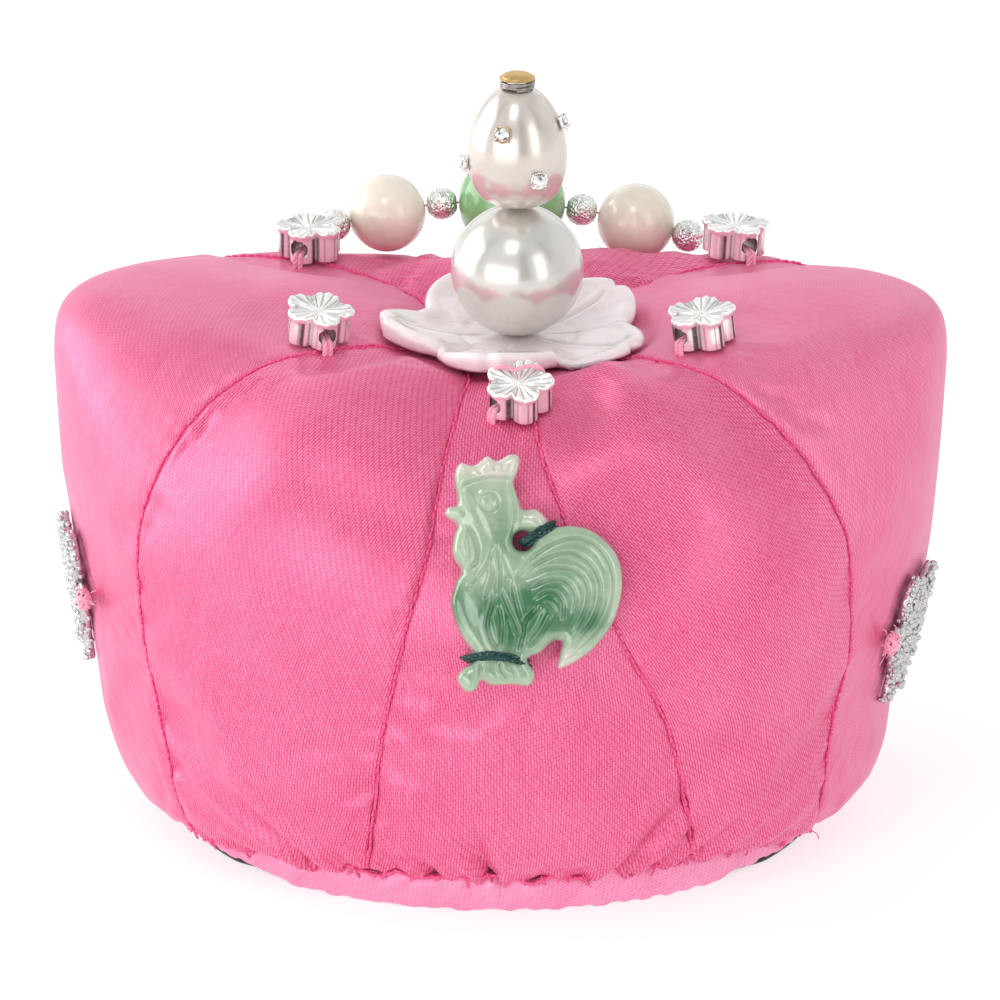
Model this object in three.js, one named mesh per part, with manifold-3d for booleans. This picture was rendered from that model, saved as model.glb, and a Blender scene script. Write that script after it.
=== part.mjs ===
// Bridal coronet: a padded satin cap of six sewn panels over a black lining, with a jade
// flower, two pearls and a string of beads on its crown, a jade rooster on its front, silver
// flower charms on its top and an openwork silver charm on each side.
// Millimetres, +Z up, the wearer's front towards -Y. Angles are degrees from the front,
// turning towards +X.
import * as THREE from 'three';
import { mergeVertices } from 'three/addons/utils/BufferGeometryUtils.js';
import Module from 'manifold-3d';

const wasm = await Module();
wasm.setup();

// Driving sizes of the cap
const GAP = 0.3;                 // clearance between pieces that touch
const RIM_RADIUS = 47.8;         // where the panels are gathered into the hem
const CROWN_CENTRE = [2.6, -3];  // where the panels meet, under the jade flower
const CROWN_DIP = 70;            // height of that meeting point
const WALL_TAPER = 0.3;          // how far the wall leans in, for a lobe 20 mm proud of the rim
const WALL_LEAN_REACH = 20;
const WALL_ROUNDNESS = 5;        // power of the wall's turn into the hem
const PUFF = 1.2;                // how far the padding stands proud between two seams
const PADDING_HEART = 38;        // height of the point that the padding swells away from
const CROWN_END = 0.36;          // share of a panel, centre to hem, that is crown
const SHOULDER_END = 0.56;       // share at which the shoulder becomes wall
const CENTRE_START = 0.06;       // share left open round the finial's wire
const SEAM_CLEARANCE = 0.2;      // each panel stops this far short of its seam line
const PRESS_FADE = 4;            // the satin rises back over this far round a piece sewn down

// Seam lines, one row a seam: its angle at each share of the way from crown to hem
const SEAM_SHARES = [0, 0.15, 0.3, 0.42, 0.49, 0.56, 0.66, 0.78, 1];
const SEAMS = [
  { between: 'front_left and front', angles: [-62, -45, -20, -12.5, -12, -15.5, -19, -21, -24.5] },
  { between: 'front and front_right', angles: [40, 20, 10, 8, 12, 19.5, 27.5, 31.5, 36] },
  { between: 'front_right and right', angles: [84, 60, 54.5, 54, 57, 62, 63.5, 61, 66] },
  { between: 'right and back', angles: [138, 142, 135, 127, 126, 128, 130, 131, 134] },
  { between: 'back and left', angles: [222, 215, 220.5, 231, 232, 232, 231, 229, 226] },
  { between: 'left and front_left', angles: [274, 288, 292.5, 295.5, 296, 294, 295, 299, 296] },
];

// Sections of the cap, one row at each seam and one at the middle of each panel
const SECTION_COLUMNS = ['shoulderRadius', 'shoulderHeight', 'crownHeight', 'crownRadius',
  'squareness', 'hemHeight'];
const SECTIONS = [
  [54.0, 44, 74.5, 20, 2.0, 5.5],   // seam, front left and front
  [55.0, 44, 74.4, 20, 2.0, 5.5],   // middle of front
  [55.0, 44, 75.0, 22, 2.0, 5.5],   // seam, front and front right
  [57.5, 46, 77.2, 28, 2.1, 5.0],   // middle of front right
  [59.5, 48, 77.0, 30, 2.2, 4.0],   // seam, front right and right
  [66.3, 71, 80.2, 54, 2.5, 3.0],   // middle of right
  [61.0, 64, 76.2, 50, 2.4, 3.0],   // seam, right and back
  [55.0, 50, 77.4, 26, 2.0, 4.0],   // middle of back
  [61.0, 64, 76.2, 50, 2.4, 3.0],   // seam, back and left
  [66.3, 71, 80.2, 54, 2.5, 3.0],   // middle of left
  [59.5, 48, 77.0, 30, 2.2, 4.0],   // seam, left and front left
  [57.5, 46, 77.2, 28, 2.1, 5.0],   // middle of front left
];

// Panels in order round the cap, each with the columns its surface is drawn with
const PANELS = [
  { name: 'panel_front', columns: 10 },
  { name: 'panel_front_right', columns: 9 },
  { name: 'panel_right', columns: 9 },
  { name: 'panel_back', columns: 10 },
  { name: 'panel_left', columns: 9 },
  { name: 'panel_front_left', columns: 9 },
];
const PANEL_ROWS = [CENTRE_START, 0.15, 0.23, 0.3, CROWN_END, 0.415, 0.46, 0.505,
  SHOULDER_END, 0.66, 0.78, 0.9, 1];

// Gathers pinched into the wall just above the hem at the front
const GATHERS = { angles: [-32, -11.5, 0.5, 19.5, 33], depth: 1.3, width: 3.4, height: 6 };

// Black lining: a dome over the head, turned out at its foot as a flat rim
const LINING = { radius: 42, wallTop: 22, domeTop: 58, domeShare: 0.7, power: 2.2, thickness: 1,
  rimThickness: 0.9, rimRadius: 46.1, sideReach: 2.5, sectors: 30, domeRows: 5 };

// Hem band below the panels, lifted at the two sides where the lining's rim shows
const HEM = { inner: 46.4, outer: 48.1, swell: 0.5, bevel: 0.3, clearance: 0.42, sideLift: 1.3,
  sectors: 48 };
const SIDE_SHOW = { hemFrom: [40, 50], rimFrom: [50, 58], rimTo: [105, 113], hemTo: [115, 125] };

// Jade flower and the pearls on the finial's wire
const FINIAL = { x: CROWN_CENTRE[0], y: CROWN_CENTRE[1] + 0.2 };
const FLOWER = { radius: 20.2, petals: 5, turn: -13, dish: 76, lift: 3.9, liftPower: 2.2,
  centreThickness: 2, edgeThickness: 1.3, bore: 1.1, notchDepth: 1.3, notchWidth: 7,
  joinDepth: 4.2, joinSag: 0.2, lip: 0.3, margin: 1, sectors: 45, rings: 3 };
const PEARL = { radius: 10, bore: 0.9, sides: 14, rows: 9 };
const DROP = { radius: 7.65, below: 8.4, above: 11, height: 18.2, land: 0.06, bore: 0.9, sides: 14,
  rows: 9 };
const WIRE = { radius: 0.5, coilRadius: 2.75, coilGroove: 0.35, coilHeight: 1.1, foot: 58.8, sides: 10 };
const CAP = { radius: 2.7, height: 0.9, sides: 12 };
// The cap's section: shares of its radius and of its height, from its foot to its top
const CAP_SECTION = [[1, 0], [0.92, 0.4], [0.5, 0.9]];
const RHINESTONE = { radius: 1.35, height: 1.1, table: 0.75, cup: 0.45, cupFoot: 1.08, girdle: 1.16,
  girdleHeight: 0.5, sides: 8 };
// Places on the drop pearl: angle round it and height above its foot
const RHINESTONES = [
  { angle: -14, height: 11 }, { angle: 28, height: 4.6 }, { angle: 84, height: 13.2 },
  { angle: -80, height: 6.2 }, { angle: 150, height: 6 }, { angle: 205, height: 12 },
];

// Silver flower charms: share of the way out, panel number and share across it, turn of the bore
const CHARM = { petals: 5, petalReach: 3, petalRadius: 1.95, height: 5, shoulder: 0.5, bevel: 0.4,
  dish: 0.3, rib: 0.22, boss: 0.35, bore: 1.2, boreLength: 14, boreHeight: 2.3, samples: 6, lift: 0.15,
  footprint: 10 };
const CHARMS = [
  { name: 'charm_front', out: 0.395, across: 0.82, turn: -54 },
  { name: 'charm_front_left', out: 0.318, across: 4.91, turn: 20 },
  { name: 'charm_front_right', out: 0.302, across: 2.17, turn: -47 },
  { name: 'charm_back_left', out: 0.33, across: 3.975, turn: -22 },
  { name: 'charm_back_right', out: 0.362, across: 3.05, turn: 31 },
];

// String of beads over the back of the crown
const STRING_PATH = [[-28, 35.1, 78.5], [-27.4, 38.6, 78.5], [-24.4, 42.4, 78.4], [-17, 44.3, 79.5],
  [-9.2, 45, 80.7], [1.7, 45.3, 80.9], [12.2, 45.5, 79.6], [19.8, 45.4, 77.9], [27.4, 44.2, 76],
  [31.2, 40, 77.2], [31.9, 37.4, 77.6]];
const STRING_RADIUS = 0.35;
const STRING_MIDDLE = 1.7;       // X of the middle bead
const BEAD_BORE = 0.9;
const BORE_LAND = 0.02;          // narrowest ring of bead left round a bore
const BEAD_SPACING = 0.3;
const BEADS = { middle: 8, jade: 5.8, silver: 2.35 };
const BEAD_PRESS = { share: 0.6, margin: 3 };

// Rooster pendant, seen from the front: X to the viewer's right, Y up, from its own middle
const ROOSTER = { out: 0.508, across: 0.64, sink: 1.6, lean: 24, turn: 5, thickness: 4.4,
  bevel: 0.54, footprint: 21, hole: [-1.5, 4.7], holeRadius: 1.56, steps: 62 };
const ROOSTER_OUTLINE = [
  [-11, 11.3], [-11.3, 14.8], [-10.4, 16.6], [-8.4, 16.2], [-6.4, 17.5], [-4.9, 16.8],
  [-2.9, 17.7], [-1.5, 17.2], [-1.9, 14.9], [-2.5, 13.4], [-1.8, 10.6], [-1.2, 9.4],
  [0.6, 9.4], [2.1, 8.2], [3, 6.7], [5.6, 6.8], [8.4, 6.2], [10.8, 4.5], [12.6, 2],
  [13.2, -1.4], [12.7, -5], [11.2, -8.6], [8.4, -11.8], [5.2, -13.9], [3.1, -14.4],
  [3.5, -12.3], [3.9, -10.6], [2.6, -10.4], [0.6, -12], [-1.4, -13], [-0.4, -15.2],
  [-1.2, -16.9], [-3.8, -16.7], [-6.8, -16.7], [-8.4, -16], [-9.2, -17.3], [-10.8, -17.5],
  [-12, -15.6], [-11.2, -14.2], [-9.5, -13.2], [-9.3, -12], [-11.4, -8.5], [-12.5, -4.4],
  [-11.7, -1.2], [-10.8, 0.5], [-12, 3], [-11.7, 5.7], [-11.2, 7.4], [-12.9, 8.9],
  [-12.5, 10], [-11.3, 10.2],
];
const TIE = { radius: 0.6, shoulder: 0.18, drop: 0.5, arch: 0.15 };
const TIES = [
  { name: 'tie_tail', from: [-1.5, 4.7], to: [3, 8.4] },
  { name: 'tie_feet', from: [-10.3, -12.6], to: [0.5, -13.4] },
];

// Openwork side charm, seen from outside: half of a winged outline, mirrored about its body
const SIDE_CHARM = { thickness: 1.5, footprint: 11.5, sink: 0.6, steps: 40 };
const EYELET = { reach: 8.6, height: 1.6, radius: 1.5, hole: 0.65, holeShift: 0.4, thickness: 1.05 };
const SIDE_OUTLINE = [[0, 8], [1.5, 8.9], [4, 10], [6.8, 9.4], [8.3, 7], [8, 4.3], [6.8, 2],
  [7.9, 0], [8, -2.6], [6.4, -4.9], [5, -6.2], [5, -9], [4.3, -10.4], [3.2, -9.2], [2.4, -6.2],
  [1, -5.4], [0, -5.2]];
const SIDE_HOLES = [
  { x: 3.3, y: 6.8, radius: 1.3 }, { x: 6.2, y: 5.6, radius: 1.1 }, { x: 2.9, y: 3.4, radius: 1.1 },
  { x: 3, y: -0.4, radius: 1.2 }, { x: 5.7, y: -1.4, radius: 1.1 },
];
const SIDE_CHARMS = [
  { name: 'side_charm_left', out: 0.69, across: 4.6, knot: 'knot_left', frontSide: -1, roll: 2 },
  { name: 'side_charm_right', out: 0.715, across: 2.33, knot: 'knot_right', frontSide: 1, roll: -4 },
];
const KNOT = { radius: 1.5, flatness: 0.7, away: 11.9, rows: 5, sides: 8 };

const COLOURS = {
  satin: '#ec6ba3', satinPale: '#f28fbb', lining: '#17171a', hem: '#f08cb8', jadePale: '#d9d3d6',
  pearl: '#f3ece6', dropPearl: '#efe3da', silver: '#d8d6d3', gold: '#d8bb72', crystal: '#eef2f6',
  whiteJade: '#d9d2c4', greenJade: '#5fbf7c', roosterJade: '#a9cfb4', thread: '#f2a3c0',
  tie: '#1f5a55',
};

const radians = THREE.MathUtils.degToRad;
const clamp = THREE.MathUtils.clamp;

function material(colour, roughness, metalness = 0) {
  return new THREE.MeshStandardMaterial({ color: colour, roughness, metalness });
}

// Smooth curve through a table's points that never overshoots them, read at x
function readTable(xs, ys, x) {
  const last = xs.length - 1;
  let i = 0;
  while (i < last - 1 && x > xs[i + 1]) i += 1;
  const rise = (k) => (ys[k + 1] - ys[k]) / (xs[k + 1] - xs[k]);
  const slope = (k) => {
    if (k === 0) return rise(0);
    if (k === last) return rise(last - 1);
    const before = rise(k - 1);
    const after = rise(k);
    return before * after <= 0 ? 0 : (2 * before * after) / (before + after);
  };
  const step = xs[i + 1] - xs[i];
  const t = clamp((x - xs[i]) / step, 0, 1);
  const a = 2 * t ** 3 - 3 * t ** 2 + 1;
  const b = t ** 3 - 2 * t ** 2 + t;
  const c = 3 * t ** 2 - 2 * t ** 3;
  const d = t ** 3 - t ** 2;
  return a * ys[i] + b * step * slope(i) + c * ys[i + 1] + d * step * slope(i + 1);
}

// Angle of a point that lies a share of the way out and across panels counted from the front
function angleAt(out, across) {
  const turn = Math.floor(across / SEAMS.length);
  const panel = Math.floor(across - turn * SEAMS.length);
  const share = across - turn * SEAMS.length - panel;
  const start = readTable(SEAM_SHARES, SEAMS[panel].angles, out);
  const next = (panel + 1) % SEAMS.length;
  const end = readTable(SEAM_SHARES, SEAMS[next].angles, out) + (next === 0 ? 360 : 0);
  return start + (end - start) * share + 360 * turn;
}

// Section of the cap at a place across the panels, smooth through the rows of the table
function sectionAt(across) {
  const count = SECTIONS.length;
  const place = across * 2;
  const row = Math.floor(place);
  const t = place - row;
  const at = (k) => SECTIONS[(((row + k) % count) + count) % count];
  const section = {};
  SECTION_COLUMNS.forEach((name, c) => {
    const [p0, p1, p2, p3] = [at(-1)[c], at(0)[c], at(1)[c], at(2)[c]];
    section[name] = 0.5 * (2 * p1 + (p2 - p0) * t + (2 * p0 - 5 * p1 + 4 * p2 - p3) * t * t
      + (3 * p1 - 3 * p2 + p3 - p0) * t * t * t);
  });
  return section;
}

// Height of the hem line at an angle round the cap
function hemHeightAt(angle) {
  const steps = 240;
  let best = SECTIONS[0][5];
  let nearest = Infinity;
  for (let k = 0; k < steps; k += 1) {
    const across = (k / steps) * SEAMS.length;
    const away = Math.abs((((angleAt(1, across) - angle) % 360) + 540) % 360 - 180);
    if (away < nearest) {
      nearest = away;
      best = sectionAt(across).hemHeight;
    }
  }
  return best;
}

// Radius and height of the cap's section: crown, shoulder and wall
function profileAt(section, out) {
  const { shoulderRadius, shoulderHeight, crownHeight, crownRadius, squareness } = section;
  if (out < CROWN_END) {
    const x = out / CROWN_END;
    return [crownRadius * x, CROWN_DIP + (crownHeight - CROWN_DIP) * (1 - (1 - x) ** 2)];
  }
  if (out < SHOULDER_END) {
    const turn = ((out - CROWN_END) / (SHOULDER_END - CROWN_END)) * (Math.PI / 2);
    const power = 2 / squareness;
    return [crownRadius + (shoulderRadius - crownRadius) * Math.sin(turn) ** power,
      shoulderHeight + (crownHeight - shoulderHeight) * Math.cos(turn) ** power];
  }
  const down = Math.sin(((out - SHOULDER_END) / (1 - SHOULDER_END)) * (Math.PI / 2)) ** 0.9;
  const proud = shoulderRadius - RIM_RADIUS;
  const lean = 1 - ((WALL_TAPER * proud) / WALL_LEAN_REACH) * down;
  const round = Math.sqrt(Math.max(0, 1 - down ** WALL_ROUNDNESS));
  return [RIM_RADIUS + proud * lean * round,
    shoulderHeight + (section.hemHeight - shoulderHeight) * down];
}

// Depth of the gathers at an angle and a height above the hem
function gatherDepth(angle, above) {
  const turned = (((angle % 360) + 540) % 360) - 180;
  const sum = GATHERS.angles.reduce((total, at) => total
    + Math.exp(-(((turned - at) / GATHERS.width) ** 2)), 0);
  return GATHERS.depth * sum * Math.exp(-above / GATHERS.height);
}

// Point of the satin's outer surface before anything presses into it
function satinPoint(out, across) {
  const section = sectionAt(across);
  const [radius, height] = profileAt(section, out);
  const angle = angleAt(out, across);
  const toCentre = 1 - clamp(out / 0.5, 0, 1);
  const pinch = out > SHOULDER_END ? gatherDepth(angle, height - section.hemHeight) : 0;
  const point = new THREE.Vector3(
    CROWN_CENTRE[0] * toCentre + (radius - pinch) * Math.sin(radians(angle)),
    CROWN_CENTRE[1] * toCentre - (radius - pinch) * Math.cos(radians(angle)),
    height,
  );
  const share = across - Math.floor(across);
  const ends = clamp(out / 0.25, 0, 1) * clamp((1 - out) / 0.15, 0, 1);
  const puff = PUFF * Math.sqrt(4 * share * (1 - share)) * ends;
  const swell = point.clone().sub(new THREE.Vector3(0, 0, PADDING_HEART)).normalize();
  return point.addScaledVector(swell, puff);
}

// Seat of a piece on the satin: the point and the outward direction there
function seatAt(out, across, sink) {
  const step = 0.05;
  const along = satinPoint(out + step, across).sub(satinPoint(out - step, across));
  const sideways = satinPoint(out, across + step).sub(satinPoint(out, across - step));
  const normal = along.cross(sideways).normalize();
  const point = satinPoint(out, across);
  if (normal.dot(point.clone().sub(new THREE.Vector3(0, 0, PADDING_HEART))) < 0) normal.negate();
  return { point: point.addScaledVector(normal, -sink), normal };
}

function roosterSeat() {
  const seat = seatAt(ROOSTER.out, ROOSTER.across, ROOSTER.sink);
  const lean = radians(ROOSTER.lean);
  const turn = radians(ROOSTER.turn);
  seat.normal.set(Math.sin(turn) * Math.cos(lean), -Math.cos(turn) * Math.cos(lean), Math.sin(lean));
  return seat;
}

// Beads strung from the middle one outwards, each a bead's width along the string
const stringPath = new THREE.CatmullRomCurve3(
  STRING_PATH.map((place) => new THREE.Vector3(...place)), false, 'centripetal');

function shareAtX(x) {
  const steps = 400;
  for (let k = 0; k <= steps; k += 1) {
    if (stringPath.getPointAt(k / steps).x >= x) return k / steps;
  }
  return 1;
}

function strungBead(name, kind, offset) {
  const share = shareAtX(STRING_MIDDLE) + offset / stringPath.getLength();
  const looks = { middle: COLOURS.greenJade, jade: COLOURS.whiteJade, silver: COLOURS.silver };
  return {
    name, radius: BEADS[kind], point: stringPath.getPointAt(share),
    tangent: stringPath.getTangentAt(share),
    look: material(looks[kind], kind === 'silver' ? 0.3 : 0.2, kind === 'silver' ? 1 : 0),
  };
}

function strungBeads() {
  const inner = BEADS.middle + BEAD_SPACING + BEADS.silver;
  const jade = inner + BEADS.silver + BEAD_SPACING + BEADS.jade;
  const outer = jade + BEADS.jade + BEAD_SPACING + BEADS.silver;
  return [['left', -1], ['right', 1]].reduce((beads, [side, sign]) => [...beads,
    strungBead(`silver_ball_${side}_inner`, 'silver', sign * inner),
    strungBead(`bead_${side}`, 'jade', sign * jade),
    strungBead(`silver_ball_${side}_outer`, 'silver', sign * outer),
  ], [strungBead('bead_middle', 'middle', 0)]);
}

const STRUNG = strungBeads();
const CHARM_SEATS = CHARMS.map(({ out, across }) => seatAt(out, across, -CHARM.lift));
const SIDE_SEATS = SIDE_CHARMS.map(({ out, across }) => seatAt(out, across, SIDE_CHARM.sink));
const ROOSTER_SEAT = roosterSeat();
const SEATS = [
  ...CHARM_SEATS.map((seat) => ({ ...seat, footprint: CHARM.footprint })),
  ...SIDE_SEATS.map((seat) => ({ ...seat, footprint: SIDE_CHARM.footprint })),
  { ...ROOSTER_SEAT, footprint: ROOSTER.footprint },
  ...STRUNG.map(({ point, radius }) => ({
    point: new THREE.Vector3(point.x, point.y, point.z - radius),
    normal: new THREE.Vector3(0, 0, 1),
    footprint: radius * BEAD_PRESS.share + BEAD_PRESS.margin,
  })),
];

// Height of the jade flower's underside at a distance from its middle
function flowerUnderside(distance) {
  const share = distance / FLOWER.radius;
  return FLOWER.dish - FLOWER.centreThickness
    + FLOWER.lift * (1 - FLOWER.joinSag) * share ** FLOWER.liftPower;
}

// The satin gives way under whatever is sewn down on it
function pressedPoint(out, across) {
  const point = satinPoint(out, across);
  SEATS.forEach(({ point: seat, normal, footprint }) => {
    const away = point.clone().sub(seat);
    const height = away.dot(normal);
    const distance = Math.sqrt(Math.max(0, away.lengthSq() - height ** 2));
    const share = 1 - THREE.MathUtils.smoothstep(distance, footprint, footprint + PRESS_FADE);
    point.addScaledVector(normal, -Math.max(0, height + GAP) * share);
  });
  const distance = Math.hypot(point.x - FINIAL.x, point.y - FINIAL.y);
  if (distance < FLOWER.radius + FLOWER.margin && point.z > CROWN_DIP - FLOWER.margin) {
    point.z = Math.min(point.z, flowerUnderside(distance) - GAP);
  }
  return point;
}

// Outer face of the lining at a share of the way from its top to its foot
function liningPoint(share, angle, grow) {
  const { wallTop, domeTop, domeShare, power, rimThickness } = LINING;
  const radius = LINING.radius + grow;
  if (share < domeShare) {
    const turn = (share / domeShare) * (Math.PI / 2);
    return around(radius * Math.sin(turn) ** (2 / power), angle,
      wallTop + (domeTop + grow - wallTop) * Math.cos(turn) ** (2 / power));
  }
  const down = (share - domeShare) / (1 - domeShare);
  return around(radius, angle, wallTop + (rimThickness + GAP - wallTop) * down);
}

// Closed solid from vertices and polygons; equal vertices become one, empty triangles go
function solidFrom(points, polygons) {
  const keys = new Map();
  const vertices = [];
  const ids = points.map(({ x, y, z }) => {
    const key = [x, y, z].map((value) => Math.round(value * 1e4)).join();
    if (!keys.has(key)) {
      keys.set(key, vertices.length / 3);
      vertices.push(x, y, z);
    }
    return keys.get(key);
  });
  const index = [];
  polygons.forEach((polygon) => {
    for (let k = 1; k < polygon.length - 1; k += 1) {
      const triangle = [ids[polygon[0]], ids[polygon[k]], ids[polygon[k + 1]]];
      if (new Set(triangle).size === 3) index.push(...triangle);
    }
  });
  const geometry = new THREE.BufferGeometry();
  geometry.setAttribute('position', new THREE.Float32BufferAttribute(vertices, 3));
  geometry.setIndex(signedVolume(vertices, index) < 0 ? index.reverse() : index);
  return geometry;
}

function signedVolume(vertices, index) {
  const corner = (k) => new THREE.Vector3().fromArray(vertices, index[k] * 3);
  let volume = 0;
  for (let k = 0; k < index.length; k += 3) {
    volume += corner(k).dot(corner(k + 1).cross(corner(k + 2))) / 6;
  }
  return volume;
}

// Two facing sheets of rows of points, joined along all four edges
function paddedSheet(outer, inner) {
  const rows = outer.length;
  const columns = outer[0].length;
  const points = [...outer.flat(), ...inner.flat()];
  const top = (i, j) => i * columns + j;
  const under = (i, j) => rows * columns + i * columns + j;
  const polygons = [];
  for (let i = 0; i < rows - 1; i += 1) {
    for (let j = 0; j < columns - 1; j += 1) {
      polygons.push([top(i, j), top(i + 1, j), top(i + 1, j + 1), top(i, j + 1)]);
      polygons.push([under(i, j), under(i, j + 1), under(i + 1, j + 1), under(i + 1, j)]);
    }
    const last = columns - 1;
    polygons.push([top(i, 0), under(i, 0), under(i + 1, 0), top(i + 1, 0)]);
    polygons.push([top(i, last), top(i + 1, last), under(i + 1, last), under(i, last)]);
  }
  for (let j = 0; j < columns - 1; j += 1) {
    const last = rows - 1;
    polygons.push([top(0, j), top(0, j + 1), under(0, j + 1), under(0, j)]);
    polygons.push([top(last, j), under(last, j), under(last, j + 1), top(last, j + 1)]);
  }
  return solidFrom(points, polygons);
}

// Closed sections of equal length, each joined to the next and the last to the first
function ringOfSections(sections) {
  const size = sections[0].length;
  const polygons = [];
  sections.forEach((_, s) => {
    const next = (s + 1) % sections.length;
    for (let k = 0; k < size; k += 1) {
      const after = (k + 1) % size;
      polygons.push([s * size + k, s * size + after, next * size + after, next * size + k]);
    }
  });
  return solidFrom(sections.flat(), polygons);
}

// Place at a radius, an angle and a height
function around(radius, angle, height) {
  return new THREE.Vector3(radius * Math.sin(radians(angle)), -radius * Math.cos(radians(angle)), height);
}

// A panel of the padded cap, from its satin in to the lining
function panelSolid(panel, columns) {
  const outer = [];
  const inner = [];
  PANEL_ROWS.forEach((out) => {
    const satin = [];
    const back = [];
    for (let j = 0; j <= columns; j += 1) {
      const across = panel + clamp(j / columns, 1e-4, 1 - 1e-4);
      const angle = angleAt(out, across);
      const side = new THREE.Vector3(Math.cos(radians(angle)), Math.sin(radians(angle)), 0);
      const shift = j === 0 ? SEAM_CLEARANCE : (j === columns ? -SEAM_CLEARANCE : 0);
      satin.push(pressedPoint(out, across).addScaledVector(side, shift));
      const lined = liningPoint(out, angle, GAP);
      lined.z += out < 1 ? 0 : GAP;
      back.push(lined.addScaledVector(side, shift));
    }
    outer.push(satin);
    inner.push(back);
  });
  return paddedSheet(outer, inner);
}

// How much of the lining's rim shows at an angle, for given angles of start and end
function sideShare(angle, from, to) {
  const turned = Math.abs((((angle % 360) + 540) % 360) - 180);
  return THREE.MathUtils.smoothstep(turned, ...from) * (1 - THREE.MathUtils.smoothstep(turned, ...to));
}

function liningSolid() {
  const sections = [];
  for (let s = 0; s < LINING.sectors; s += 1) {
    const angle = (s / LINING.sectors) * 360;
    const reach = LINING.rimRadius + LINING.sideReach * sideShare(angle, SIDE_SHOW.rimFrom, SIDE_SHOW.rimTo);
    const section = [];
    for (let k = 0; k <= LINING.domeRows; k += 1) {
      section.push(liningPoint((k / LINING.domeRows) * LINING.domeShare, angle, 0));
    }
    section.push(around(LINING.radius, angle, LINING.rimThickness));
    section.push(around(reach, angle, LINING.rimThickness));
    section.push(around(reach, angle, 0));
    section.push(around(LINING.radius - LINING.thickness, angle, 0));
    for (let k = LINING.domeRows; k >= 0; k -= 1) {
      section.push(liningPoint((k / LINING.domeRows) * LINING.domeShare, angle, -LINING.thickness));
    }
    sections.push(section);
  }
  return ringOfSections(sections);
}

function hemSolid() {
  const sections = [];
  const innerFoot = LINING.radius + GAP;
  const innerHeight = LINING.rimThickness + 2 * GAP;
  for (let s = 0; s < HEM.sectors; s += 1) {
    const angle = (s / HEM.sectors) * 360;
    const foot = HEM.sideLift * sideShare(angle, SIDE_SHOW.hemFrom, SIDE_SHOW.hemTo);
    const top = hemHeightAt(angle);
    const slopeShare = (HEM.inner - innerFoot) / (RIM_RADIUS - innerFoot);
    const innerTop = innerHeight + (top - innerHeight) * slopeShare - HEM.clearance;
    const outerTop = top - HEM.clearance;
    sections.push([
      around(HEM.inner, angle, foot),
      around(HEM.outer, angle, foot),
      around(HEM.outer + HEM.swell, angle, (foot + outerTop) / 2),
      around(HEM.outer - HEM.bevel, angle, outerTop),
      around(HEM.inner, angle, innerTop),
    ]);
  }
  return ringOfSections(sections);
}

// Reach of a jade petal at an angle from the petal's own middle, notched at its tip
function petalReach(fromMiddle) {
  const half = 180 / FLOWER.petals;
  const join = FLOWER.joinDepth * (Math.abs(fromMiddle) / half) ** 4;
  const notch = FLOWER.notchDepth * Math.exp(-((fromMiddle / FLOWER.notchWidth) ** 2));
  return FLOWER.radius - join - notch;
}

function flowerSolid() {
  const sections = [];
  const step = 360 / FLOWER.petals;
  for (let s = 0; s < FLOWER.sectors; s += 1) {
    const turned = (s / FLOWER.sectors) * 360;
    const fromMiddle = ((turned + step / 2) % step) - step / 2;
    const reach = petalReach(fromMiddle);
    const lift = FLOWER.lift * (1 - FLOWER.joinSag * (Math.abs(fromMiddle) / (step / 2)) ** 2);
    const upper = [];
    const lower = [];
    for (let k = 0; k <= FLOWER.rings; k += 1) {
      const radius = FLOWER.bore + (reach - FLOWER.bore) * (k / FLOWER.rings) ** 0.8;
      const share = radius / FLOWER.radius;
      const height = FLOWER.dish + lift * share ** FLOWER.liftPower;
      const thickness = THREE.MathUtils.lerp(FLOWER.centreThickness, FLOWER.edgeThickness, share);
      const inset = k === FLOWER.rings ? FLOWER.lip : 0;
      upper.push(around(radius, turned + FLOWER.turn, height));
      lower.unshift(around(radius - inset, turned + FLOWER.turn, height - thickness));
    }
    sections.push([...upper, ...lower]);
  }
  return ringOfSections(sections);
}

// Turned solid about +Z from radius and height pairs that close on the axis or on themselves
function turned(profile, sides) {
  const lathe = new THREE.LatheGeometry(profile.map(([r, z]) => new THREE.Vector2(r, z)), sides);
  lathe.rotateX(Math.PI / 2);
  lathe.deleteAttribute('normal');
  lathe.deleteAttribute('uv');
  const { position } = lathe.attributes;
  const points = Array.from({ length: position.count }, (_, k) => new THREE.Vector3()
    .fromBufferAttribute(position, k));
  const polygons = [];
  for (let k = 0; k < lathe.index.count; k += 3) {
    polygons.push([lathe.index.getX(k), lathe.index.getX(k + 1), lathe.index.getX(k + 2)]);
  }
  return solidFrom(points, polygons);
}

// Drilled bead: rows of [height, radius] from its foot to its top, with a bore right through
function drilledBead(radiusAt, foot, top, bore, sides, rows) {
  const profile = [[bore, foot]];
  for (let k = 0; k <= rows; k += 1) {
    const height = foot + (top - foot) * (0.5 - 0.5 * Math.cos((k / rows) * Math.PI));
    profile.push([Math.max(radiusAt(height), bore + BORE_LAND), height]);
  }
  profile.push([bore, top], [bore, foot]);
  return turned(profile, sides);
}

function roundBead(radius, bore, sides, rows) {
  const end = Math.sqrt(radius ** 2 - bore ** 2);
  const radiusAt = (height) => Math.sqrt(Math.max(0, radius ** 2 - height ** 2));
  return drilledBead(radiusAt, -end, end, bore, sides, rows);
}

const PEARL_FOOT = FLOWER.dish + GAP;
const PEARL_MIDDLE = PEARL_FOOT + PEARL.radius;
const DROP_FOOT = PEARL_MIDDLE + PEARL.radius + GAP;
const DROP_TOP = DROP_FOOT + DROP.height;

// Radius of the drop pearl at a height above its foot: two half ellipses
function dropRadius(height) {
  const fromWidest = height - DROP.below;
  const half = fromWidest < 0 ? DROP.below : DROP.above;
  return DROP.radius * Math.sqrt(Math.max(0, 1 - (fromWidest / half) ** 2));
}

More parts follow.
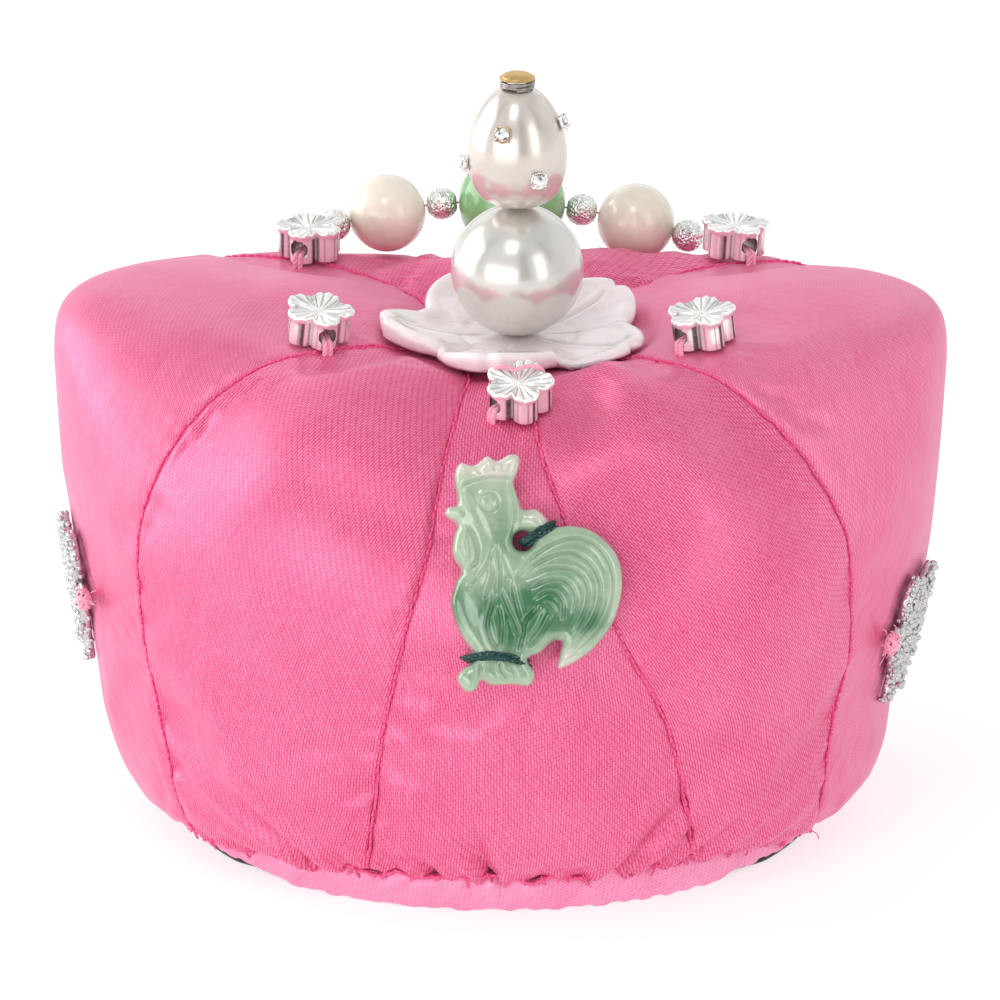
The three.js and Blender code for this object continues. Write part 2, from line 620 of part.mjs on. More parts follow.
function wireSolid() {
  const coil = DROP_TOP + GAP;
  const mid = coil + WIRE.coilHeight / 2;
  const top = coil + WIRE.coilHeight;
  const groove = WIRE.coilRadius - WIRE.coilGroove;
  return turned([
    [0, WIRE.foot], [WIRE.radius, WIRE.foot], [WIRE.radius, coil], [groove, coil],
    [WIRE.coilRadius, (coil + mid) / 2], [groove, mid], [WIRE.coilRadius, (mid + top) / 2],
    [groove, top], [0, top],
  ], WIRE.sides);
}

function capSolid() {
  const foot = DROP_TOP + WIRE.coilHeight + 2 * GAP;
  const side = CAP_SECTION.map(([r, z]) => [CAP.radius * r, foot + CAP.height * z]);
  return turned([[0, foot], ...side, [0, foot + CAP.height]], CAP.sides);
}

// Cut stone in its cup: flat table, eight crown facets, a girdle and the cup's wall
function rhinestoneSolid() {
  const { radius, table, height, cup, cupFoot, girdle, girdleHeight, sides } = RHINESTONE;
  return turned([
    [0, 0], [cupFoot, 0], [radius, cup], [girdle, girdleHeight], [table, height], [0, height],
  ], sides);
}

// Turns a solid so that its +Z looks along a direction and its +Y along a hint, then moves it
function placeOn(mesh, point, normal, hint, roll = 0) {
  const z = normal.clone().normalize();
  const x = hint.clone().cross(z).normalize();
  const y = z.clone().cross(x);
  const basis = new THREE.Matrix4().makeBasis(x, y, z);
  mesh.quaternion.setFromRotationMatrix(basis);
  mesh.rotateZ(radians(roll));
  mesh.position.copy(point);
  return mesh;
}

function toManifold(geometry) {
  const plain = geometry.clone();
  plain.deleteAttribute('normal');
  plain.deleteAttribute('uv');
  const merged = mergeVertices(plain, 1e-4);
  return new wasm.Manifold(new wasm.Mesh({
    numProp: 3,
    vertProperties: new Float32Array(merged.attributes.position.array),
    triVerts: new Uint32Array(merged.index.array),
  }));
}

function fromManifold(solid) {
  const { vertProperties, triVerts } = solid.getMesh();
  const geometry = new THREE.BufferGeometry();
  geometry.setAttribute('position', new THREE.BufferAttribute(new Float32Array(vertProperties), 3));
  geometry.setIndex(new THREE.BufferAttribute(new Uint32Array(triVerts), 1));
  return geometry;
}

// Five petals with ribbed tops round a boss, drilled from one petal through to the far side
function charmSolid() {
  const { petals, height, shoulder, bevel, dish, boss } = CHARM;
  const count = petals * CHARM.samples;
  const step = 360 / petals;
  const sections = [];
  for (let s = 0; s < count; s += 1) {
    const angle = (s / count) * 360;
    const fromMiddle = radians(((angle + step / 2) % step) - step / 2);
    const across = CHARM.petalReach * Math.sin(fromMiddle);
    const reach = CHARM.petalReach * Math.cos(fromMiddle) + Math.sqrt(CHARM.petalRadius ** 2 - across ** 2);
    const rib = s % 2 === 0 ? CHARM.rib : -CHARM.rib;
    sections.push([
      around(0, angle, 0),
      around(reach, angle, 0),
      around(reach, angle, height - shoulder),
      around(reach - bevel, angle, height + rib),
      around(reach / 3, angle, height - dish + rib / 2),
      around(0, angle, height - dish + boss),
    ]);
  }
  const bore = new THREE.CylinderGeometry(CHARM.bore, CHARM.bore, CHARM.boreLength, 10);
  const hole = toManifold(bore).translate([0, 0, CHARM.boreHeight]);
  return fromManifold(toManifold(ringOfSections(sections)).subtract(hole));
}

function smoothShape(points, steps) {
  const closed = points.map(([x, y]) => new THREE.Vector3(x, y, 0));
  const curve = new THREE.CatmullRomCurve3(closed, true, 'centripetal');
  return new THREE.Shape(curve.getPoints(steps).slice(0, -1).map(({ x, y }) => new THREE.Vector2(x, y)));
}

function holePath(x, y, radius, sides) {
  const path = new THREE.Path();
  for (let k = 0; k < sides; k += 1) {
    const turn = (k / sides) * 2 * Math.PI;
    const point = [x + radius * Math.cos(turn), y + radius * Math.sin(turn)];
    if (k === 0) path.moveTo(...point);
    else path.lineTo(...point);
  }
  path.closePath();
  return path;
}

// Extruded solid whose bevels stay inside the given thickness, back face at z = 0
function bevelled(shape, thickness, bevel) {
  const solid = new THREE.ExtrudeGeometry(shape, {
    depth: thickness - 2 * bevel, bevelEnabled: true, bevelThickness: bevel, bevelSize: bevel,
    bevelOffset: -bevel, bevelSegments: 1, curveSegments: 8,
  });
  solid.translate(0, 0, bevel);
  return solid;
}

function roosterSolid() {
  const shape = smoothShape(ROOSTER_OUTLINE, ROOSTER.steps);
  shape.holes.push(holePath(...ROOSTER.hole, ROOSTER.holeRadius, 8));
  return bevelled(shape, ROOSTER.thickness, ROOSTER.bevel);
}

// Thread laid over the pendant like a staple, its ends going down towards the satin
function tieSolid([x0, y0], [x1, y1]) {
  const over = ROOSTER.thickness + TIE.radius + GAP;
  const half = ROOSTER.thickness / 2;
  const at = (share, height) => new THREE.Vector3(x0 + (x1 - x0) * share, y0 + (y1 - y0) * share, height);
  const path = new THREE.CatmullRomCurve3([
    at(0, half), at(0, over - TIE.drop), at(TIE.shoulder, over + TIE.arch),
    at(1 - TIE.shoulder, over + TIE.arch), at(1, over - TIE.drop), at(1, half),
  ]);
  return tube(path, TIE.radius, 6, 10);
}

function tube(path, radius, sides, steps) {
  const section = new THREE.Shape(Array.from({ length: sides }, (_, k) => new THREE.Vector2(
    radius * Math.cos((k / sides) * 2 * Math.PI),
    radius * Math.sin((k / sides) * 2 * Math.PI),
  )));
  return new THREE.ExtrudeGeometry(section, { steps, bevelEnabled: false, extrudePath: path });
}

// Winged openwork plate with an eyelet at each wing's side
function sideCharmSolid() {
  const mirrored = SIDE_OUTLINE.slice(1, -1).reverse().map(([x, y]) => [-x, y]);
  const shape = smoothShape([...SIDE_OUTLINE, ...mirrored], SIDE_CHARM.steps);
  SIDE_HOLES.forEach(({ x, y, radius }) => {
    shape.holes.push(holePath(x, y, radius, 6), holePath(-x, y, radius, 6));
  });
  const plate = toManifold(new THREE.ExtrudeGeometry(shape, {
    depth: SIDE_CHARM.thickness, bevelEnabled: false,
  }));
  const parts = [-1, 1].map((side) => {
    const { reach, height, radius, hole, holeShift, thickness } = EYELET;
    const ring = new THREE.Shape();
    ring.absarc(side * reach, height, radius, 0, 2 * Math.PI);
    ring.holes.push(holePath(side * (reach + holeShift), height, hole, 6));
    return toManifold(new THREE.ExtrudeGeometry(ring, {
      depth: thickness, bevelEnabled: false, curveSegments: 5,
    }));
  });
  return fromManifold(parts.reduce((whole, part) => whole.add(part), plate));
}

function knotSolid() {
  const { radius, flatness, rows, sides } = KNOT;
  const profile = Array.from({ length: rows + 1 }, (_, k) => {
    const turn = (k / rows) * Math.PI;
    return [k === 0 || k === rows ? 0 : radius * Math.sin(turn), -radius * flatness * Math.cos(turn)];
  });
  return turned(profile, sides);
}

// Assembly
const coronet = new THREE.Group();
const addPiece = (name, geometry, look) => {
  geometry.computeVertexNormals();
  const mesh = new THREE.Mesh(geometry, look);
  mesh.name = name;
  coronet.add(mesh);
  return mesh;
};
const AXIS_UP = new THREE.Vector3(0, 0, 1);
const TOWARDS_BACK = new THREE.Vector3(0, 1, 0);

PANELS.forEach(({ name, columns }, panel) => {
  const pale = name === 'panel_left' || name === 'panel_right';
  addPiece(name, panelSolid(panel, columns), material(pale ? COLOURS.satinPale : COLOURS.satin, 0.45));
});
addPiece('lining', liningSolid(), material(COLOURS.lining, 0.85));
addPiece('hem_band', hemSolid(), material(COLOURS.hem, 0.45));

const finialAt = (name, geometry, look, height) => {
  addPiece(name, geometry, look).position.set(FINIAL.x, FINIAL.y, height);
};
finialAt('jade_flower', flowerSolid(), material(COLOURS.jadePale, 0.25), 0);
finialAt('pearl_round', roundBead(PEARL.radius, PEARL.bore, PEARL.sides, PEARL.rows),
  material(COLOURS.pearl, 0.15), PEARL_MIDDLE);
finialAt('pearl_drop', drilledBead(dropRadius, DROP.land, DROP.height, DROP.bore, DROP.sides, DROP.rows),
  material(COLOURS.dropPearl, 0.15), DROP_FOOT);
finialAt('finial_wire', wireSolid(), material(COLOURS.silver, 0.3, 1), 0);
finialAt('finial_cap', capSolid(), material(COLOURS.gold, 0.35, 0.4), 0);

RHINESTONES.forEach(({ angle, height }, k) => {
  const step = 0.05;
  const slope = (dropRadius(height + step) - dropRadius(height - step)) / (2 * step);
  const normal = around(1, angle, -slope).normalize();
  const seat = around(dropRadius(height), angle, DROP_FOOT + height)
    .add(new THREE.Vector3(FINIAL.x, FINIAL.y, 0)).addScaledVector(normal, GAP);
  placeOn(addPiece(`rhinestone_${k + 1}`, rhinestoneSolid(), material(COLOURS.crystal, 0.05, 0.6)),
    seat, normal, AXIS_UP);
});

CHARMS.forEach(({ name, turn }, k) => {
  const { point, normal } = CHARM_SEATS[k];
  placeOn(addPiece(name, charmSolid(), material(COLOURS.silver, 0.2, 1)), point, normal, TOWARDS_BACK, turn);
});

STRUNG.forEach(({ name, radius, look, point, tangent }) => {
  const sides = radius > BEADS.silver ? 12 : 10;
  placeOn(addPiece(name, roundBead(radius, BEAD_BORE, sides, sides - 4), look), point, tangent, AXIS_UP);
});
addPiece('bead_thread', tube(stringPath, STRING_RADIUS, 5, 30), material(COLOURS.thread, 0.7));

const pendant = new THREE.Group();
placeOn(pendant, ROOSTER_SEAT.point, ROOSTER_SEAT.normal, AXIS_UP);
const rooster = addPiece('rooster', roosterSolid(), material(COLOURS.roosterJade, 0.25));
pendant.add(rooster);
TIES.forEach(({ name, from, to }) => {
  pendant.add(addPiece(name, tieSolid(from, to), material(COLOURS.tie, 0.7)));
});
coronet.add(pendant);

SIDE_CHARMS.forEach(({ name, knot, frontSide, roll }, k) => {
  const { point, normal } = SIDE_SEATS[k];
  const group = new THREE.Group();
  placeOn(group, point, normal, AXIS_UP, roll);
  group.add(addPiece(name, sideCharmSolid(), material(COLOURS.silver, 0.25, 1)));
  const sewn = addPiece(knot, knotSolid(), material(COLOURS.thread, 0.75));
  sewn.position.set(-frontSide * KNOT.away, EYELET.height, KNOT.radius * KNOT.flatness);
  group.add(sewn);
  coronet.add(group);
});

// The origin stands on the floor in the middle of the part's footprint
coronet.updateMatrixWorld(true);
const bounds = new THREE.Box3().setFromObject(coronet, true);
const middle = bounds.getCenter(new THREE.Vector3());
coronet.position.set(-middle.x, -middle.y, -bounds.min.z);
coronet.updateMatrixWorld(true);

export default coronet;
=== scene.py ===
"""Bridal coronet: the finish of every piece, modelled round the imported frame.

Sizes are millimetres in the functions and metres in Blender, in the frame's own axes: +Z up and the
wearer's front towards -Y. Angles are degrees from the front, turning towards +X. A place on the
padded cap is given by two numbers: out, the share of the way from the crown's middle to the hem, and
across, the panel's number, counted from the front one, and the share across it.
"""
import math

import bpy
import numpy as np
from mathutils import Matrix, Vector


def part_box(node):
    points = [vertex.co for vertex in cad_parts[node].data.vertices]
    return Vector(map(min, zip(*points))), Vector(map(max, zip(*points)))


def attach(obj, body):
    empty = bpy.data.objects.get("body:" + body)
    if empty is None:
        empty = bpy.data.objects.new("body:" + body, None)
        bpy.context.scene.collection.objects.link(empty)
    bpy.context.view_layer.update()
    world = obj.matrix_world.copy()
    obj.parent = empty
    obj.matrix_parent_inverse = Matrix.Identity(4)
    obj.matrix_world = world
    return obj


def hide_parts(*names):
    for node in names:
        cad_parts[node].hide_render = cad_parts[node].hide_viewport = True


bl_info = {
    "name": "Bridal Coronet",
    "version": (1, 0, 0),
    "blender": (4, 5, 0),
    "location": "3D View > Sidebar > Coronet",
    "description": "Builds a padded satin bridal coronet with jade, pearls and silver charms",
    "category": "Object",
}

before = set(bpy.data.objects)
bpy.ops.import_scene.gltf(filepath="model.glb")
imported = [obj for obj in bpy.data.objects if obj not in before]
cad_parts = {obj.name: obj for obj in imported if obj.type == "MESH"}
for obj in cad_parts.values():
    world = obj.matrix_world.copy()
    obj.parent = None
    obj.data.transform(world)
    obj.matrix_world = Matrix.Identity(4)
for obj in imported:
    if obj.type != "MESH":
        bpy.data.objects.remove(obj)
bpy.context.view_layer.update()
MM = 0.001

# The padded cap, as in the frame's own construction
RIM_RADIUS = 47.8
CROWN_CENTRE = np.array([2.6, -3.0])
CROWN_DIP = 70.0
WALL_TAPER = 0.3
WALL_LEAN_REACH = 20.0
WALL_ROUNDNESS = 5
# How far the right and left walls draw in low down, how high that is, and how far up and down it runs
WALL_HOLLOW = (1.9, 0.7)
HOLLOW_HEIGHT = 23.0
HOLLOW_REACH = 8.5
# Height of the point on the axis that the padding pushes away from
PADDING_HEART = 38.0
# Shares of the way out where the crown ends, where the shoulder ends and where the panels start
CROWN_END = 0.36
SHOULDER_END = 0.56
CENTRE_START = 0.06
GAP = 0.3
# Angle of each seam line at several shares of the way out, from the seam left of the front panel
SEAM_SHARES = (0, 0.15, 0.3, 0.42, 0.49, 0.56, 0.66, 0.78, 1)
SEAM_ANGLES = (
    (-62, -45, -20, -12.5, -12, -15.5, -19, -21, -24.5),
    (40, 20, 10, 8, 12, 19.5, 27.5, 31.5, 36),
    (84, 60, 54.5, 54, 57, 62, 63.5, 61, 66),
    (138, 142, 135, 127, 126, 128, 130, 131, 134),
    (222, 215, 220.5, 231, 232, 232, 231, 229, 226),
    (274, 288, 292.5, 295.5, 296, 294, 295, 299, 296),
)
# Sections at each seam and panel middle, round to the back panel's: shoulder radius and height,
# crown height and radius, squareness of the shoulder, height of the hem
HALF_SECTIONS = (
    (54.0, 44, 74.5, 20, 2.0, 5.5),
    (55.0, 44, 74.4, 20, 2.0, 5.5),
    (55.0, 44, 75.0, 22, 2.0, 5.5),
    (57.5, 46, 77.2, 28, 2.1, 4.7),
    (59.5, 48, 77.0, 30, 2.2, 2.8),
    (66.3, 71, 79.6, 53, 3.0, 2.2),
    (61.0, 64, 76.2, 50, 2.5, 3.0),
    (55.0, 50, 77.4, 26, 2.0, 4.0),
)
# The left side's are the right side's in reverse
SECTIONS = np.array(HALF_SECTIONS + HALF_SECTIONS[6:2:-1])
# Panels in order: node, columns of the fine grid, turn of the satin's grain
PANELS = (
    ("panel_front", 120, 4.0),
    ("panel_front_right", 120, -14.0),
    ("panel_right", 136, 38.0),
    ("panel_back", 140, 68.0),
    ("panel_left", 136, -38.0),
    ("panel_front_left", 120, 16.0),
)
LOBES = ("panel_left", "panel_right")
INNER_COLUMNS = 9
SEAM_SEED = 11
ROWS_TO_SHOULDER = 106
ROWS_TO_HEM = 84
# Cloth simulation: rows and columns of a panel's coarse sheet, frames, and the furthest move
SWELL_ROWS = 66
SWELL_COLUMNS = 38
SWELL_FRAMES = 20
SWELL_LIMIT = 5.0
# Gathers above the hem: angle at the hem, lean in degrees a millimetre up, depth, width, length
GATHERS = (
    (-58, -0.4, 0.5, 2.6, 14.0), (-48, -0.7, 0.7, 2.4, 15.0), (-40, -1.0, 0.8, 2.6, 17.0),
    (-32, -1.2, 2.7, 1.4, 9.0), (-27.5, -0.6, 0.5, 1.6, 12.0), (-18, -0.6, 0.4, 2.0, 12.0),
    (-11.5, -0.7, 1.0, 1.4, 11.0), (-5, -0.2, 0.35, 1.6, 8.0), (-1.5, -0.4, 2.8, 1.2, 8.0),
    (7.5, 0.3, 0.5, 1.9, 10.0), (14, 0.5, 0.35, 2.0, 12.0), (19.5, 1.0, 2.4, 1.5, 11.0),
    (27, 1.0, 0.9, 1.9, 14.0), (34, 1.1, 1.2, 1.8, 15.0), (42, 1.1, 0.9, 2.4, 17.0),
    (52, 0.9, 0.8, 2.6, 16.0), (62, 0.5, 0.6, 2.4, 12.0), (120, 0.4, 0.8, 2.4, 12.0),
    (160, 0.0, 0.7, 2.4, 12.0), (205, 0.2, 0.9, 2.0, 12.0), (240, -0.3, 0.7, 2.4, 12.0),
)

# What stands on the crown: its axis, the round pearl's middle, the drop pearl's foot, and the height,
# rise and radius of the flower's cupped underside
FINIAL_AT = np.array([2.6, -2.8])
PEARL_MIDDLE = 86.3
DROP_FOOT = 96.6
FLOWER_COLUMNS = 520
FLOWER_FOOT = 74.0
FLOWER_RISE = 2.3
FLOWER_RADIUS = 20.2
# Width of the soft edge where the satin dips under the flower, and how far out the dip reaches
FLOWER_BLEND = 4.0
FLOWER_DIP = 28.0

# What is sewn down on the cap
# Silver flower charms: node, out, across, turn of the bore
CHARMS = (
    ("charm_front", 0.395, 0.82, -54.0),
    ("charm_front_left", 0.318, 4.91, 20.0),
    ("charm_front_right", 0.302, 2.17, -47.0),
    ("charm_back_left", 0.33, 3.975, -22.0),
    ("charm_back_right", 0.362, 3.05, 31.0),
)
CHARM_LIFT = 0.15
CHARM_FOOTPRINT = 10.0
# Side charms: node, knot's node, out, across, side of the front eyelet, roll
SIDE_CHARMS = (
    ("side_charm_left", "knot_left", 0.685, 4.64, -1, 2.0),
    ("side_charm_right", "knot_right", 0.706, 2.3, 1, -4.0),
)
SIDE_SINK = 0.6
SIDE_FOOTPRINT = 11.5
# Place of a knot from its charm's middle: forwards and up
KNOT_PLACE = (12.2, 1.4)
ROOSTER_PLACE = {"out": 0.508, "across": 0.64, "sink": 1.6, "lean": 24.0, "turn": 5.0,
                 "footprint": 21.0}
ROOSTER_SHIFT = (1.0, -0.85, 0.0)
# Threads that tie the rooster, on its own axes: node and way, then each strand's place beside it
TIES = (
    ("tie_tail", ((-1.5, 4.4, 1.6), (-1.2, 4.5, 3.8), (0.3, 5.4, 4.7), (1.7, 6.3, 4.6),
                  (2.9, 6.9, 3.4), (3.4, 7.2, 0.6))),
    ("tie_feet", ((-10.6, -12.5, 0.2), (-9.6, -12.6, 3.4), (-7.6, -12.5, 5.0), (-4.8, -12.9, 5.3),
                  (-3.2, -13.3, 4.6), (-1.8, -13.5, 3.2), (-1.2, -13.5, 0.2))),
)
TIE_STRANDS = ((0.5, -0.4, -0.1), (0.0, -0.1, 0.15), (-0.5, 0.2, 0.05), (0.2, 0.45, -0.1))
# Beads on the string: node, slot, radius
BEADS = (
    ("bead_middle", "green_jade", 8.0),
    ("bead_left", "white_jade", 5.8),
    ("bead_right", "white_jade", 5.8),
    ("silver_ball_left_inner", "silver_ball", 2.35),
    ("silver_ball_left_outer", "silver_ball", 2.35),
    ("silver_ball_right_inner", "silver_ball", 2.35),
    ("silver_ball_right_outer", "silver_ball", 2.35),
)
# Where the string goes into the satin at its left and right end
STRING_LEFT = ((-28, 35.1, 78.0), (-27.4, 38.6, 78.5))
STRING_RIGHT = ((31.2, 40, 77.2), (31.9, 37.4, 77.2))
# How softly the satin is flattened under a piece, and how far round a silver flower that fades
PRESS_SOFTNESS = 0.6
PRESS_FADE = 7.0

# Lining, hem band, and the angles from the front between which each one's edge shows most
LINING = {"radius": 42.0, "wall_top": 22.0, "dome_top": 58.0, "dome_share": 0.7, "power": 2.2,
          "thickness": 1.0, "rim_thickness": 0.9, "rim_radius": 46.1, "side_reach": 1.3}
HEM_COLUMNS = 900
HEM = {"inner": 46.4, "outer": 48.1, "side_lift": 0.8}
HEM_SHOW = ((40, 50), (115, 125))
RIM_SHOW = ((50, 58), (105, 113))


def box_middle(node):
    """Middle of a frame node's box in millimetres."""
    low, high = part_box(node)
    return (np.array(low) + np.array(high)) / 2 / MM


# How far the frame's origin lies from the construction's own, read from the finial's wire
SHIFT = np.append(box_middle("finial_wire")[:2] - FINIAL_AT, 0.0)


def node_middle(node):
    """Middle of a frame node's box, in the construction's own millimetres."""
    return box_middle(node) - SHIFT


# Small tools for numbers

def smoothstep(low, high, x):
    """0 below low, 1 above high, and a smooth rise between them."""
    t = np.clip((x - low) / (high - low), 0, 1)
    return t * t * (3 - 2 * t)


def read_table(xs, ys, x):
    """Smooth curve through a table's points that never overshoots them, read at an array of x."""
    xs = np.asarray(xs, float)
    ys = np.asarray(ys, float)
    step = np.diff(xs)
    rise = np.diff(ys) / step
    product = rise[:-1] * rise[1:]
    total = np.where(product > 0, rise[:-1] + rise[1:], 1.0)
    slope = np.concatenate([rise[:1], np.where(product > 0, 2 * product / total, 0), rise[-1:]])
    x = np.clip(x, xs[0], xs[-1])
    i = np.clip(np.searchsorted(xs, x, side="right") - 1, 0, len(xs) - 2)
    t = (x - xs[i]) / step[i]
    return ((2 * t ** 3 - 3 * t ** 2 + 1) * ys[i] + (t ** 3 - 2 * t ** 2 + t) * step[i] * slope[i]
            + (3 * t ** 2 - 2 * t ** 3) * ys[i + 1] + (t ** 3 - t ** 2) * step[i] * slope[i + 1])


def signed(angle):
    """Angles from -180 to 180 degrees."""
    return (np.asarray(angle, float) % 360 + 540) % 360 - 180


def circle(count):
    """Cosines and sines of that many even steps round a circle."""
    turn = np.arange(count) / count * 2 * math.pi
    return np.cos(turn), np.sin(turn)


def ripple(x, seed, longest, shortest, waves=9):
    """Sum of sine waves with lengths between two limits and seeded phases, about -1 to 1."""
    chance = np.random.default_rng(seed)
    lengths = np.exp(chance.uniform(math.log(shortest), math.log(longest), waves))
    phases = chance.uniform(0, 2 * math.pi, waves)
    x = np.asarray(x, float)[..., None]
    return np.sin(2 * math.pi * x / lengths + phases).sum(-1) / math.sqrt(waves)


def unit(vectors):
    """Vectors of length one."""
    return vectors / np.maximum(np.linalg.norm(vectors, axis=-1, keepdims=True), 1e-9)


def around(radius, angle, height):
    """Points at a radius, an angle and a height."""
    turn = np.radians(angle)
    radius, turn, height = np.broadcast_arrays(radius, turn, height)
    return np.stack([radius * np.sin(turn), -radius * np.cos(turn), height], -1)


def spline_weights(count, places):
    """Matrix that reads a row of count values at fractional places, by Catmull-Rom splines."""
    places = np.clip(places, 0, count - 1)
    base = np.minimum(places.astype(int), count - 2)
    t = places - base
    parts = (-0.5 * t + t ** 2 - 0.5 * t ** 3, 1 - 2.5 * t ** 2 + 1.5 * t ** 3,
             0.5 * t + 2 * t ** 2 - 1.5 * t ** 3, -0.5 * t ** 2 + 0.5 * t ** 3)
    matrix = np.zeros((len(places), count))
    for offset, part in zip((-1, 0, 1, 2), parts):
        np.add.at(matrix, (np.arange(len(places)), np.clip(base + offset, 0, count - 1)), part)
    return matrix


def through(points, samples, closed=False):
    """Points on the Catmull-Rom curve through a short list of places."""
    points = np.asarray(points, float)
    if closed:
        ring = np.concatenate([points[-1:], points, points[:2]])
        places = 1 + np.arange(samples) / samples * len(points)
        return spline_weights(len(ring), places) @ ring
    return spline_weights(len(points), np.linspace(0, len(points) - 1, samples)) @ points


def measured(points, axis=0):
    """Length along a path, or along a grid's rows or columns, up to each point."""
    steps = np.linalg.norm(np.diff(points, axis=axis), axis=-1)
    zero = np.zeros_like(np.take(steps, [0], axis=axis))
    return np.concatenate([zero, np.cumsum(steps, axis=axis)], axis=axis)


def read_path(places, lengths, path):
    """Points of a path, or other rows of three numbers, at several lengths along it."""
    return np.stack([np.interp(places, lengths, path[:, k]) for k in range(3)], -1)


# The shape of the cap

def seam_angle(seam, out):
    """Angle of a seam line, counted past the last one as one turn more."""
    count = len(SEAM_ANGLES)
    return read_table(SEAM_SHARES, SEAM_ANGLES[seam % count], out) + 360 * (seam // count)


def angle_at(out, across):
    """Angle of a place: the two seams of its panel, mixed by its share across."""
    out, across = np.broadcast_arrays(np.asarray(out, float), np.asarray(across, float))
    panel = np.floor(across).astype(int)
    angle = np.zeros(out.shape)
    for seam in np.unique(panel):
        here = panel == seam
        start = seam_angle(seam, out[here])
        angle[here] = start + (seam_angle(seam + 1, out[here]) - start) * (across[here] - seam)
    return angle


def section_at(across):
    """Columns of the section table at a place, smooth through its rows."""
    place = np.asarray(across, float) * 2
    row = np.floor(place).astype(int)
    t = (place - row)[..., None]
    before, here, after, last = (SECTIONS[(row + k) % len(SECTIONS)] for k in (-1, 0, 1, 2))
    return 0.5 * (2 * here + (after - before) * t + (2 * before - 5 * here + 4 * after - last)
                  * t ** 2 + (3 * here - 3 * after + last - before) * t ** 3)


def satin_surface(out, across, puff):
    """Outer face of the cap.

    Each section is a crown parabola, a superellipse shoulder and a wall that leans in and turns
    under, and draws in a little low down at the sides. The padding stands proud of it by puff
    times the root of 4 t (1 - t) between two seams.
    """
    out, across = np.broadcast_arrays(np.asarray(out, float), np.asarray(across, float))
    shoulder_radius, shoulder_height, crown_height, crown_radius, squareness, hem = (
        np.moveaxis(section_at(across), -1, 0))
    x = np.clip(out / CROWN_END, 0, 1)
    crown = (crown_radius * x, CROWN_DIP + (crown_height - CROWN_DIP) * (1 - (1 - x) ** 2))
    turn = np.clip((out - CROWN_END) / (SHOULDER_END - CROWN_END), 0, 1) * math.pi / 2
    shoulder = (
        crown_radius + (shoulder_radius - crown_radius) * np.sin(turn) ** (2 / squareness),
        shoulder_height + (crown_height - shoulder_height)
        * np.maximum(np.cos(turn), 0) ** (2 / squareness))
    down = np.clip((out - SHOULDER_END) / (1 - SHOULDER_END), 0, 1)
    down = np.sin(down * math.pi / 2) ** 0.9
    side = ((shoulder_radius - RIM_RADIUS) / WALL_LEAN_REACH) ** 2
    rim = RIM_RADIUS + side
    proud = shoulder_radius - rim
    lean = 1 - WALL_TAPER * proud / WALL_LEAN_REACH * down
    roundness = WALL_ROUNDNESS * (1 - 0.48 * side)
    wall = (rim + proud * lean * np.sqrt(np.maximum(1 - down ** roundness, 0)),
            shoulder_height + (hem - shoulder_height) * down)
    radius = np.where(out < CROWN_END, crown[0], np.where(out < SHOULDER_END, shoulder[0], wall[0]))
    height = np.where(out < CROWN_END, crown[1], np.where(out < SHOULDER_END, shoulder[1], wall[1]))
    angle = angle_at(out, across)
    sideways = np.sin(np.radians(angle))
    hollow = np.where(sideways > 0, WALL_HOLLOW[0], WALL_HOLLOW[1]) * sideways ** 2
    radius = radius - hollow * np.exp(-((height - HOLLOW_HEIGHT) / HOLLOW_REACH) ** 2)
    points = around(radius, angle, height)
    points[..., :2] += CROWN_CENTRE * (1 - np.clip(out / 0.5, 0, 1))[..., None]
    share = across - np.floor(across)
    ends = np.clip(out / 0.25, 0, 1) * np.clip((1 - out) / 0.15, 0, 1)
    rise = puff * np.sqrt(np.maximum(4 * share * (1 - share), 0)) * ends
    return points + unit(points - [0, 0, PADDING_HEART]) * rise[..., None]


def seat_at(out, across, sink, puff=1.2):
    """Point on the satin, pushed in by sink, and the outward direction there."""
    step = 0.05
    along = (satin_surface(out + step, across, puff) - satin_surface(out - step, across, puff))
    sideways = (satin_surface(out, across + step, puff) - satin_surface(out, across - step, puff))
    normal = unit(np.cross(along, sideways))
    point = satin_surface(out, across, puff)
    if normal @ (point - [0, 0, PADDING_HEART]) < 0:
        normal = -normal
    return point - normal * sink, normal


def rooster_seat():
    """Seat of the rooster and the direction that its face looks in."""
    point, _ = seat_at(ROOSTER_PLACE["out"], ROOSTER_PLACE["across"], ROOSTER_PLACE["sink"])
    lean = math.radians(ROOSTER_PLACE["lean"])
    turn = math.radians(ROOSTER_PLACE["turn"])
    return point, np.array([math.sin(turn) * math.cos(lean), -math.cos(turn) * math.cos(lean),
                            math.sin(lean)])


def pressing_seats():
    """Seats of everything that presses into the satin, each with its footprint."""
    seats = [(*seat_at(out, across, -CHARM_LIFT), CHARM_FOOTPRINT)
             for _, out, across, _ in CHARMS]
    seats += [(*seat_at(out, across, SIDE_SINK), SIDE_FOOTPRINT)
              for _, _, out, across, _, _ in SIDE_CHARMS]
    seats.append((*rooster_seat(), ROOSTER_PLACE["footprint"]))
    for node, _, radius in BEADS:
        middle = node_middle(node)
        seats.append((middle - [0, 0, radius], np.array([0, 0, 1.0]), radius * 0.6 + 3))
    return seats


def axes_on(normal, hint, roll=0.0):
    """Three axes as rows: the last looks along normal, the second leans to hint, then a roll."""
    z = unit(np.asarray(normal, float))
    x = unit(np.cross(hint, z))
    y = np.cross(z, x)
    turn = math.radians(roll)
    return np.array([x * math.cos(turn) + y * math.sin(turn),
                     y * math.cos(turn) - x * math.sin(turn), z])


